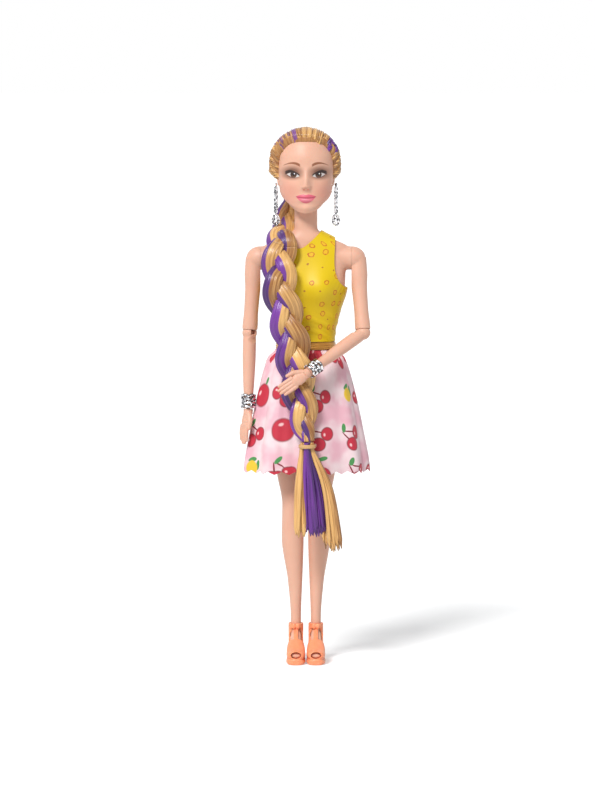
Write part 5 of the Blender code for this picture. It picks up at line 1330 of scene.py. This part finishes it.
motifs += [
    (single, (0.0, 0.0), (0.0054, 0.0054), print_dark, 0.0, 0.12),
    (single, (0.0, 0.0), (0.0050, 0.0050), print_red, 0.0, 0.12),
    (single, (-0.0019, 0.0019), (0.0011, 0.0007), print_shine, 0.7, 0.5),
    (single, (0.0046, 0.0052), (0.0018, 0.0009), print_green, 0.8, 0.12),
    (sprig, (-0.0022, 0.0010), (0.0024, 0.0011), print_green, 0.9, 0.12),
    (sprig, (0.0020, 0.0012), (0.0024, 0.0011), print_green, 2.2, 0.12),
    (sprig, (0.0, -0.0020), (0.0025, 0.0025), print_red, 0.0, 0.12),
    (golden, (0.0, -0.0020), (0.0032, 0.0032), print_yellow, 0.0, 0.12),
]
for chosen, (x, y), radii, ink, turn, edge in motifs:
    c = math.cos(turn)
    s = math.sin(turn)
    middle = (x * c + y * s, y * c - x * s)
    mask = oval(print_x * c + print_y * s, print_x * -s + print_y * c, middle, radii, edge)
    colour = mix_colours(mask * chosen, colour, ink)
colour_with(shader, colour)
stand(skirt, "skirt_cloth", "torso", skirt_print, ("skirt",), 60)


def skirt_back(v):
    return skirt_point(math.pi / 2, 0.10 + 0.24 * v, cloth_thickness + fit_gap * 2)


closure_strip("skirt_tape", skirt_back, "skirt_closure")

# The hair: rooted straw-blonde fibre with purple streaks, combed back from the face
# in narrow locks over the scalp and rolled over the ears.
hair_root = 0.0012
hair_thin = 0.0023
hair_roll_right = 0.0060
hair_roll_left = 0.0048
hair_back_roll = 0.0034
hairline_side = 0.2725
hairline_front = 0.2912
hairline_nape = 0.2600
hair_full_height = 0.2747
combed_from = Vector((0.0, 0.0010, 0.2700))
gather_point = Vector((-0.0062, 0.0160, 0.2615))
root_shade_length = 0.0026
map_scale = 100
hair_fibre, tree, shader = start_finish("blonde_purple_fibre", Roughness=0.31, Specular_IOR_Level=0.55,
                                        Sheen_Weight=0.1)
tone, tint, root = (Value(add_node("Attribute", {}, tree, attribute_name=name), "Fac")
                    for name in ("tone", "tint", "root"))
apart = add_node("CombineXYZ", {"X": tone * 37.0, "Y": tone * 91.0})
own = vector_maths("ADD", map_place(tree, 42.0, 0.9, 1.0), Value(apart))
streaks = noise_of(own, 1.0, 3.0)
wide = noise_of(vector_maths("MULTIPLY", own, (0.24, 0.45, 1.0)), 1.0, 1.0)
light = soft_step(streaks * 0.50 + wide * 0.50 + tone * 0.34, 0.44, 0.90)
blonde = mix_colours(light, (0.27, 0.095, 0.018, 1.0), (0.84, 0.49, 0.17, 1.0))
purple = mix_colours(light, (0.040, 0.005, 0.10, 1.0), (0.18, 0.030, 0.33, 1.0))
edge = tint + (wide - 0.5) * 0.25 + (streaks - 0.5) * 0.45
both = mix_colours(soft_step(edge, 0.36, 0.64), blonde, purple)
# darker brown where the locks begin and over the padding under them: painted shade where the hair meets the
# head
colour_with(shader, mix_colours(root * 0.35, both, (0.42, 0.15, 0.035, 1.0)))
emboss(shader, streaks + wide * 0.8, 0.00022, 0.75)


def give_shares(piece, **shares):
    """Set the values that the fibre's colour goes by, at each of a piece's points."""
    for title, values in shares.items():
        layer = piece.data.attributes.new(title, "FLOAT", "POINT")
        layer.data.foreach_set("value", values)


class Bundle:
    """Locks gathered into one mesh, with a UV map along them, their tints and tones, and the painted shade
    where each begins.
    """

    def __init__(self):
        self.points = []
        self.faces = []
        self.maps = []
        self.tints = []
        self.tones = []
        self.root_shades = []

    def lock(self, route, half_width, half_height, facing, tint, tone, sides=12, grooves=3, depth=0.10,
             root=0.0, begin=0.0, before=None, after=None):
        """One lock along a route; widths, facing and tint are functions of the share along it."""
        first = len(self.points)
        run = begin
        count = len(route)
        runs = []
        girths = []
        for i, point in enumerate(route):
            share = i / (count - 1)
            ahead = route[i + 1] if i < count - 1 else after or point
            forward = (ahead - (route[i - 1] if i else before or point)).normalized()
            if i:
                run += (point - route[i - 1]).length
            runs.append(run)
            up = facing(share, point)
            up = (up - forward * up.dot(forward)).normalized()
            side = forward.cross(up)
            wide = half_width(share)
            high = half_height(share)
            girths.append(2 * math.pi * math.sqrt((wide * wide + high * high) / 2))
            for j in range(sides):
                c, s = once_round(j / sides)
                groove = 1 - depth + depth * math.cos(2 * grooves * share_of_turn(j / sides) + tone * 9)
                self.points.append(point + side * (wide * c * groove) + up * (high * s * groove))
                self.tints.append(tint(share, c, s, side, up))
                self.tones.append(tone)
                # painted shade that fades out along the lock from where it begins
                self.root_shades.append(root * max(0.0, 1 - run / root_shade_length))
        for i in range(count - 1):
            for j in range(sides):
                k = (j + 1) % sides
                a = first + i * sides
                self.faces.append((a + j, a + k, a + sides + k, a + sides + j))
                self.maps += [(corner / sides * girths[row], runs[row])
                              for corner, row in ((j, i), (j + 1, i), (j + 1, i + 1), (j, i + 1))]
        last = first + (count - 1) * sides
        for end, ring in ((0, range(first + sides - 1, first - 1, -1)), (1, range(last, last + sides))):
            self.faces.append(tuple(ring))
            self.maps += [(j / sides * girths[-end], runs[-1] * end) for j in range(sides)]

    def made(self, name):
        piece = new_piece(name, self.points, self.faces)
        strand_map = piece.data.uv_layers.new(name="UVMap")
        for corner, (across, along) in zip(strand_map.data, self.maps):
            corner.uv = (across * map_scale, along * map_scale)
        give_shares(piece, tint=self.tints, tone=self.tones, root=self.root_shades)
        return face_outward(piece)


def hairline_height(angle):
    """The hair's lower edge: high over the brow, lower at the sides and lowest at the nape."""
    ahead = max(0.0, -math.sin(angle))
    behind = max(0.0, math.sin(angle))
    return (hairline_side + (hairline_front - hairline_side) * (1 - (1 - ahead) ** 2.2)
            + (hairline_nape - hairline_side) * behind ** 0.6)


def hairline_share(angle):
    low = lowest_at(angle)
    return (hairline_height(angle) - low) / (crown_height - low)


def hair_thickness(angle, rise, height):
    """How far the hair stands off the head: most in the side rolls, least at the crown."""
    side = abs(math.cos(angle)) ** 1.5
    behind = max(0.0, math.sin(angle))
    roll = hair_roll_right if math.cos(angle) < 0 else hair_roll_left
    full = hair_thin + (roll - hair_thin) * side + (hair_back_roll - hair_thin) * behind
    full += (hair_thin - full) * rise ** 1.5
    lift = min(1.0, max(0.0, 1 + (height - hair_full_height) / 0.0040))
    return hair_root + (full - hair_root) * lift ** 0.6


def scalp_wall(u, v):
    """The padding under the locks, from the hairline up to the crown, closed inside."""
    even = share_of_turn(u)
    angle = even - 0.30 * math.cos(even)
    if v in (0.0, 1.0):
        return Vector((0, 0, crown_height + (hair_thin * 0.45 if v == 0.0 else -0.001)))
    low = hairline_share(angle)
    if v <= 0.85:
        share = 1.0 - (1.0 - low) * v / 0.85
        rise = max(0.0, (share - low) / (1 - low))
        height = head_point(angle, share).z
        thick = max(0.0002, hair_thickness(angle, rise, height) - 0.0009)
        thick *= min(1.0, (rise * 4.5) ** 0.75 + 0.02)
        return head_point(angle, share, thick, 0.0)
    share = low + (1.0 - low) * (v - 0.85) / 0.15
    return head_point(angle, share, -0.0006, 0.0)


scalp = bent_grid(128, 80, scalp_wall)
scalp_tree = BVHTree.FromPolygons([vertex.co for vertex in scalp.data.vertices],
                                  [tuple(face.vertices) for face in scalp.data.polygons])
for corner in scalp.data.uv_layers.active.data:
    corner.uv = (corner.uv[0] * 11.0, corner.uv[1] * 5.0)
count = len(scalp.data.vertices)
# the padding under the locks takes half of the painted shade
give_shares(scalp, tint=[0.0] * count, tone=[0.25] * count, root=[0.5] * count)


def combed_way(around, back):
    """A direction from the head's middle: round the face and back over the head."""
    a = math.radians(around)
    b = math.radians(back)
    return Vector((math.sin(b) * math.cos(a), -math.cos(b), math.sin(b) * math.sin(a)))


def on_hair(way, lift=0.0):
    """The padding's surface seen from outside along a direction, and its normal there."""
    hit, normal, _, _ = scalp_tree.ray_cast(combed_from + way * 0.06, -way)
    if hit is None:
        return None
    if normal.dot(way) < 0:
        normal = -normal
    return hit + normal * lift, normal


def hair_starts(around):
    """How far back from the face, in degrees, the hairline lies."""
    for back in range(20, 150):
        way = combed_way(around, back)
        found = on_hair(way)
        if found:
            hit = found[0]
            if hit.z > hairline_height(math.atan2(hit.y, hit.x)) - 0.0003:
                return back
    return 100


def combed_lock(bundle, around, lift, half_width, half_height, tint, tone):
    """A lock from the hairline at an angle round the face, back to where the hair is gathered."""
    start = hair_starts(around)
    goal = (gather_point - combed_from).normalized()
    route = []
    normals = []
    steps = 34
    for step in range(steps + 1):
        t = (step / steps) ** 1.7
        back = start + (172 - start) * t
        drawn = max(0.0, (t - 0.45) / 0.55)
        way = combed_way(around, back)
        way = (way * (1 - drawn ** 1.3) + goal * drawn ** 1.3).normalized()
        found = on_hair(way, lift * min(1.0, 0.8 + t * 10) * (1 - 0.4 * drawn))
        if found is None:
            continue
        route.append(found[0])
        normals.append(found[1])
    if len(route) < 6:
        return

    def facing(share, point):
        return normals[min(len(normals) - 1, int(share * (len(normals) - 1) + 0.5))]

    def wide(share):
        fan = min(1.0, 0.85 + share * 0.8) * (1 - 0.45 * share ** 2)
        return half_width * fan * (1.0 if share < 0.97 else 0.5)

    def high(share):
        return half_height * min(1.0, 0.80 + share * 4) * (1.0 if share < 0.97 else 0.5)

    bundle.lock(route, wide, high, facing, lambda share, c, s, side, up: tint, tone, sides=8, grooves=2,
                root=1.0)


chance = random.Random(7)
# degrees round the face: where the locks begin, how far they go and where purple shows
locks_from = -52
locks_span = 284
purple_low = 43
purple_high = 62
mixed_low = 102
mixed_high = 132
cap = Bundle()
cap_rows = [
    # count, lift, half width, half height
    (112, 0.00025, 0.00080, 0.00060),
    (104, 0.0004, 0.00074, 0.00056),
]
for row, (count, lift, wide, high) in enumerate(cap_rows):
    for index in range(count):
        place = index + 0.5 * (row % 2) + chance.uniform(-0.22, 0.22)
        around = locks_from + locks_span * place / (count - 0.5)
        purple = 1.0 if purple_low < around < purple_high else 0.0
        if mixed_low < around < mixed_high and chance.random() < 0.5:
            purple = chance.uniform(0.42, 0.60)
        combed_lock(cap, around, lift + chance.uniform(-0.0001, 0.00015), wide * chance.uniform(0.85, 1.15),
                    high * chance.uniform(0.85, 1.15), purple, chance.random())
combed_hair = cap.made("combed_hair")
stand(scalp, "hair_padding", "head", hair_fibre)
stand(combed_hair, "combed_hair", "head", hair_fibre, ("hair_cap",))

# The gathered stretch: the hair leaves the head low behind the right ear and comes over
# the shoulder in three loose strands, purple along their outer side.
braid_end = Vector((0.0006, -0.0283, 0.1262))
hair_run = [(-0.0066, 0.0086, 0.2672), (-0.0090, 0.0120, 0.2580), (-0.0116, 0.01148, 0.24666),
            (-0.0131, 0.00338, 0.24143), (-0.0138, -0.00703, 0.23782), (-0.0142, -0.01268, 0.2330),
            (-0.0150, -0.01944, 0.2200), (-0.01425, -0.0226, 0.2100), (-0.0082, -0.0226, 0.1820),
            (-0.00492, -0.02328, 0.1600), braid_end]
run_steps = 22
braid_from = 5 * run_steps
hair_path = curve_through(hair_run, run_steps)
path_lengths = [0.0]
for before, after in zip(hair_path, hair_path[1:]):
    path_lengths.append(path_lengths[-1] + (after - before).length)
braid_swing = 0.0049
braid_sway = 0.0025
strand_half_width = 0.0051
strand_half_height = 0.0027
braid_period = 0.0555
braid_start_turn = 0.25
plait_sizes = [(0.0, 0.38), (0.06, 0.54), (0.21, 0.76), (0.334, 0.93), (0.40, 0.98), (0.625, 1.0),
               (0.756, 1.02), (0.878, 0.90), (0.953, 0.68), (1.0, 0.40)]


def strand_place(k, phase):
    """A strand's middle, its facing way, size and turn at a step of the hair's path."""
    last = len(hair_path) - 1
    centre = hair_path[k]
    forward = (hair_path[min(k + 1, last)] - hair_path[max(k - 1, 0)]).normalized()
    down = min(1.0, max(0.0, (0.2390 - centre.z) / 0.0140))
    hint = Vector((-0.3, -1.0, 0.9)).lerp(Vector((0, -1, 0)), down)
    front = (hint - forward * hint.dot(forward)).normalized()
    side = front.cross(forward)
    run = path_lengths[k] - path_lengths[braid_from]
    turn = 2 * math.pi * (run / braid_period + braid_start_turn) + phase
    size = between_levels(plait_sizes, path_lengths[k] / path_lengths[-1])[0]
    aside = side * (braid_swing * size * math.sin(turn - 0.10 * math.sin(2 * turn)))
    ahead = front * (braid_sway * size * math.sin(2 * turn))
    return centre + aside + ahead, front, size, turn


strand_runs = [0.0, 0.0, 0.0]


def plaited(name, first, last):
    """Three strands over and under one another along a part of the hair's path."""
    bundle = Bundle()
    steps = last - first
    for strand in range(3):
        phase = 2 * math.pi * strand / 3
        places = [strand_place(k, phase) for k in range(first, last + 1)]

        def part(share):
            return places[int(share * steps + 0.5)]

        def wide(share):
            middle, front, size, turn = part(share)
            return strand_half_width * size * (1.0 - 0.10 * math.cos(2 * turn))

        def tint(share, c, s, side, up):
            run = path_lengths[first + int(share * steps + 0.5)] - path_lengths[run_steps]
            border = 0.30 - 0.26 * math.sin(run * 52 + strand * 2.1)
            return min(1.0, max(0.0, 0.5 - (side.x * c + border) * 3.5))

        bundle.lock([place[0] for place in places], wide, lambda share: strand_half_height * part(share)[2],
                    lambda share, point: part(share)[1], tint, 0.2 + 0.3 * strand, sides=48, grooves=6,
                    depth=0.045, begin=strand_runs[strand],
                    before=strand_place(first - 1, phase)[0] if first else None,
                    after=strand_place(last + 1, phase)[0] if last < len(hair_path) - 1 else None)
        strand_runs[strand] += sum((b[0] - a[0]).length for a, b in zip(places, places[1:]))
    return bundle.made(name)


gathered_hair = plaited("gathered_bundle", 0, braid_from)
stand(gathered_hair, "gathered_bundle", None, hair_fibre, ("gathered_hair",))
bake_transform(gathered_hair)

# The braid: three thick strands plaited loosely down the chest and skirt, each blonde
# on one side and purple on the other.
plait = plaited("plaited_braid", braid_from, len(hair_path) - 1)
stand(plait, "plaited_braid", "torso", hair_fibre, ("braid",))

# The tie: a thin elastic, wound a few times round the braid's end in the hair's colour.
tie_tube = 0.0009
tie_half_width = 0.0040
tie_half_depth = 0.0036
tie_centre = braid_end - Vector((0, 0, fit_gap + tie_tube * 2.4))


def tie_wall(u, v):
    """A ring of elastic whose surface shows its few wraps."""
    c, s = once_round(v)
    wrap_c, wrap_s = once_round(u)
    wander = 0.4 * math.sin(2 * share_of_turn(v))
    wraps = tie_tube * (1 + 0.16 * abs(math.sin(2 * share_of_turn(u) + wander)))
    out = Vector((c, s, 0)) * (wraps * 0.8 * wrap_c)
    return tie_centre + Vector((tie_half_width * c, tie_half_depth * s, wraps * 1.15 * wrap_s)) + out


tie = bent_grid(28, 96, tie_wall)
tie_elastic, tree, shader = start_finish("tie_elastic", Roughness=0.55)
map_at = map_place(tree, 8.0, 90.0, 1.0)
colour_with(shader, mix_colours(noise_of(map_at, 1.0), (0.50, 0.27, 0.10, 1.0), (0.72, 0.45, 0.20, 1.0)))
emboss(shader, noise_of(map_at, 2.0), 0.00008, 0.8)
stand(tie, "braid_tie", "torso", tie_elastic, ("braid_band",))

# The tail: loose ends below the tie, a blonde lock at each side and purple between,
# cut blunt like a brush.
tail_top = 0.1259
tail_groups = [
    # centre at the end, spread, lowest height, count, purple
    (-0.0030, 0.0032, 0.0722, 26, 0.0),
    (0.0054, 0.0064, 0.0728, 44, 1.0),
    (0.0148, 0.0050, 0.0644, 34, 0.0),
]
tail = Bundle()
for end_x, spread, low, count, purple in tail_groups:
    for index in range(count):
        aside = chance.uniform(-1, 1)
        ahead = chance.uniform(-1, 1)
        last = low + chance.uniform(0.0, 0.0045) + 0.002 * abs(aside)
        tip = Vector((end_x + spread * aside, braid_end.y + 0.0026 * ahead, last))
        root_x = braid_end.x + 0.0031 * max(-1, min(1, (end_x - 0.005) / 0.010 + 0.45 * aside))
        root_place = Vector((root_x, braid_end.y - 0.0013 * purple + 0.0016 * ahead, tail_top))
        neck_place = root_place - Vector((0, 0, 0.0050))
        bow_out = Vector((root_x + (tip.x - root_x) * 0.62 + chance.uniform(-0.0008, 0.0008),
                          braid_end.y - 0.0008 * purple + 0.0030 * ahead, tail_top - 0.026))
        route = curve_through([root_place, neck_place, bow_out, tip], 9)
        thick = chance.uniform(0.0008, 0.0012)
        tone = chance.random()

        def wide(share):
            end = 1.0 if share < 0.93 else max(0.2, (1 - share) / 0.07)
            return thick * (0.55 + 0.65 * min(1.0, share * 2.2)) * end

        tail.lock(route, wide, lambda share: wide(share) * 0.62, lambda share, point: Vector((0, -1, 0)),
                  lambda share, c, s, side, up: purple, tone)
loose_tail = tail.made("loose_tail")
stand(loose_tail, "loose_tail", "torso", hair_fibre, ("hair_tail",))

# The earrings: a stud in each lobe carries a chain of small stones in rings and an
# oval framed pendant, all plated bright silver.
drop_count = 7
drop_pitch = 0.0021
drop_bead = 0.0010
link_radius = 0.00094
link_wire = 0.00033
stone_radius = 0.00062
joining_bead = 0.00034
# half width, half height and wire of the pendant's outer and inner frame
pendant_frames = ((0.00205, 0.00305, 0.00034), (0.00118, 0.00190, 0.00022))
pendant_stones = 16
stone_ring_width = 0.00163
stone_ring_height = 0.00248
pendant_stone_radius = 0.00036
pendant_middle_radii = (0.00105, 0.00050, 0.00178)
pendant_top = Vector((0, 0, 0.0033))
pendant_top_radius = 0.0004
for sign, side in both_sides:
    low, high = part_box("ear_drop_" + side)
    drop_x = (low.x + high.x) / 2 - doll_axis.x
    drop_y = (low.y + high.y) / 2 - doll_axis.y
    first = high.z - drop_bead * 1.08
    pieces = []
    for index in range(drop_count):
        centre = Vector((drop_x, drop_y, first - drop_pitch * index))
        bpy.ops.mesh.primitive_torus_add(major_segments=28, minor_segments=10, major_radius=link_radius,
                                         minor_radius=link_wire)
        link = bpy.context.object
        upright = Matrix.Rotation(math.pi / 2, 4, "X")
        link.data.transform(Matrix.Translation(centre) @ Matrix.Diagonal((1.0, 1.3, 1.05, 1.0)) @ upright)
        bpy.ops.mesh.primitive_ico_sphere_add(subdivisions=1, radius=stone_radius)
        stone = bpy.context.object
        stone.data.transform(Matrix.Translation(centre) @ Matrix.Diagonal((1.0, 1.15, 1.0, 1.0)))
        pieces += [link, stone]
        if index:
            pieces.append(add_ball(centre + Vector((0, 0, drop_pitch / 2)), joining_bead, 12))
    stand(joined(pieces), "ear_chain_" + side, side + "_ear_drop", bright_silver,
          ("ear_drop_" + side,), 30)
    low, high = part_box("ear_pendant_" + side)
    centre = (low + high) / 2 - doll_axis
    pieces = []
    for wide, tall, wire in pendant_frames:
        def frame_wall(u, v):
            c, s = once_round(v)
            wire_c, wire_s = once_round(u)
            out = wire * wire_c
            return centre + Vector(((wide + out) * c, wire * 1.4 * wire_s, (tall + out) * s))
        pieces.append(bent_grid(12, 64, frame_wall))
    for index in range(pendant_stones):
        c, s = once_round(index / pendant_stones)
        stone_place = centre + Vector((stone_ring_width * c, 0, stone_ring_height * s))
        pieces.append(add_ball(stone_place, pendant_stone_radius, 10))
    pieces.append(add_ball(centre, pendant_middle_radii, 24))
    pieces.append(add_ball(centre + pendant_top, pendant_top_radius, 12))
    stand(joined(pieces), "ear_oval_" + side, side + "_ear_drop", bright_silver,
          ("ear_pendant_" + side,), 40)
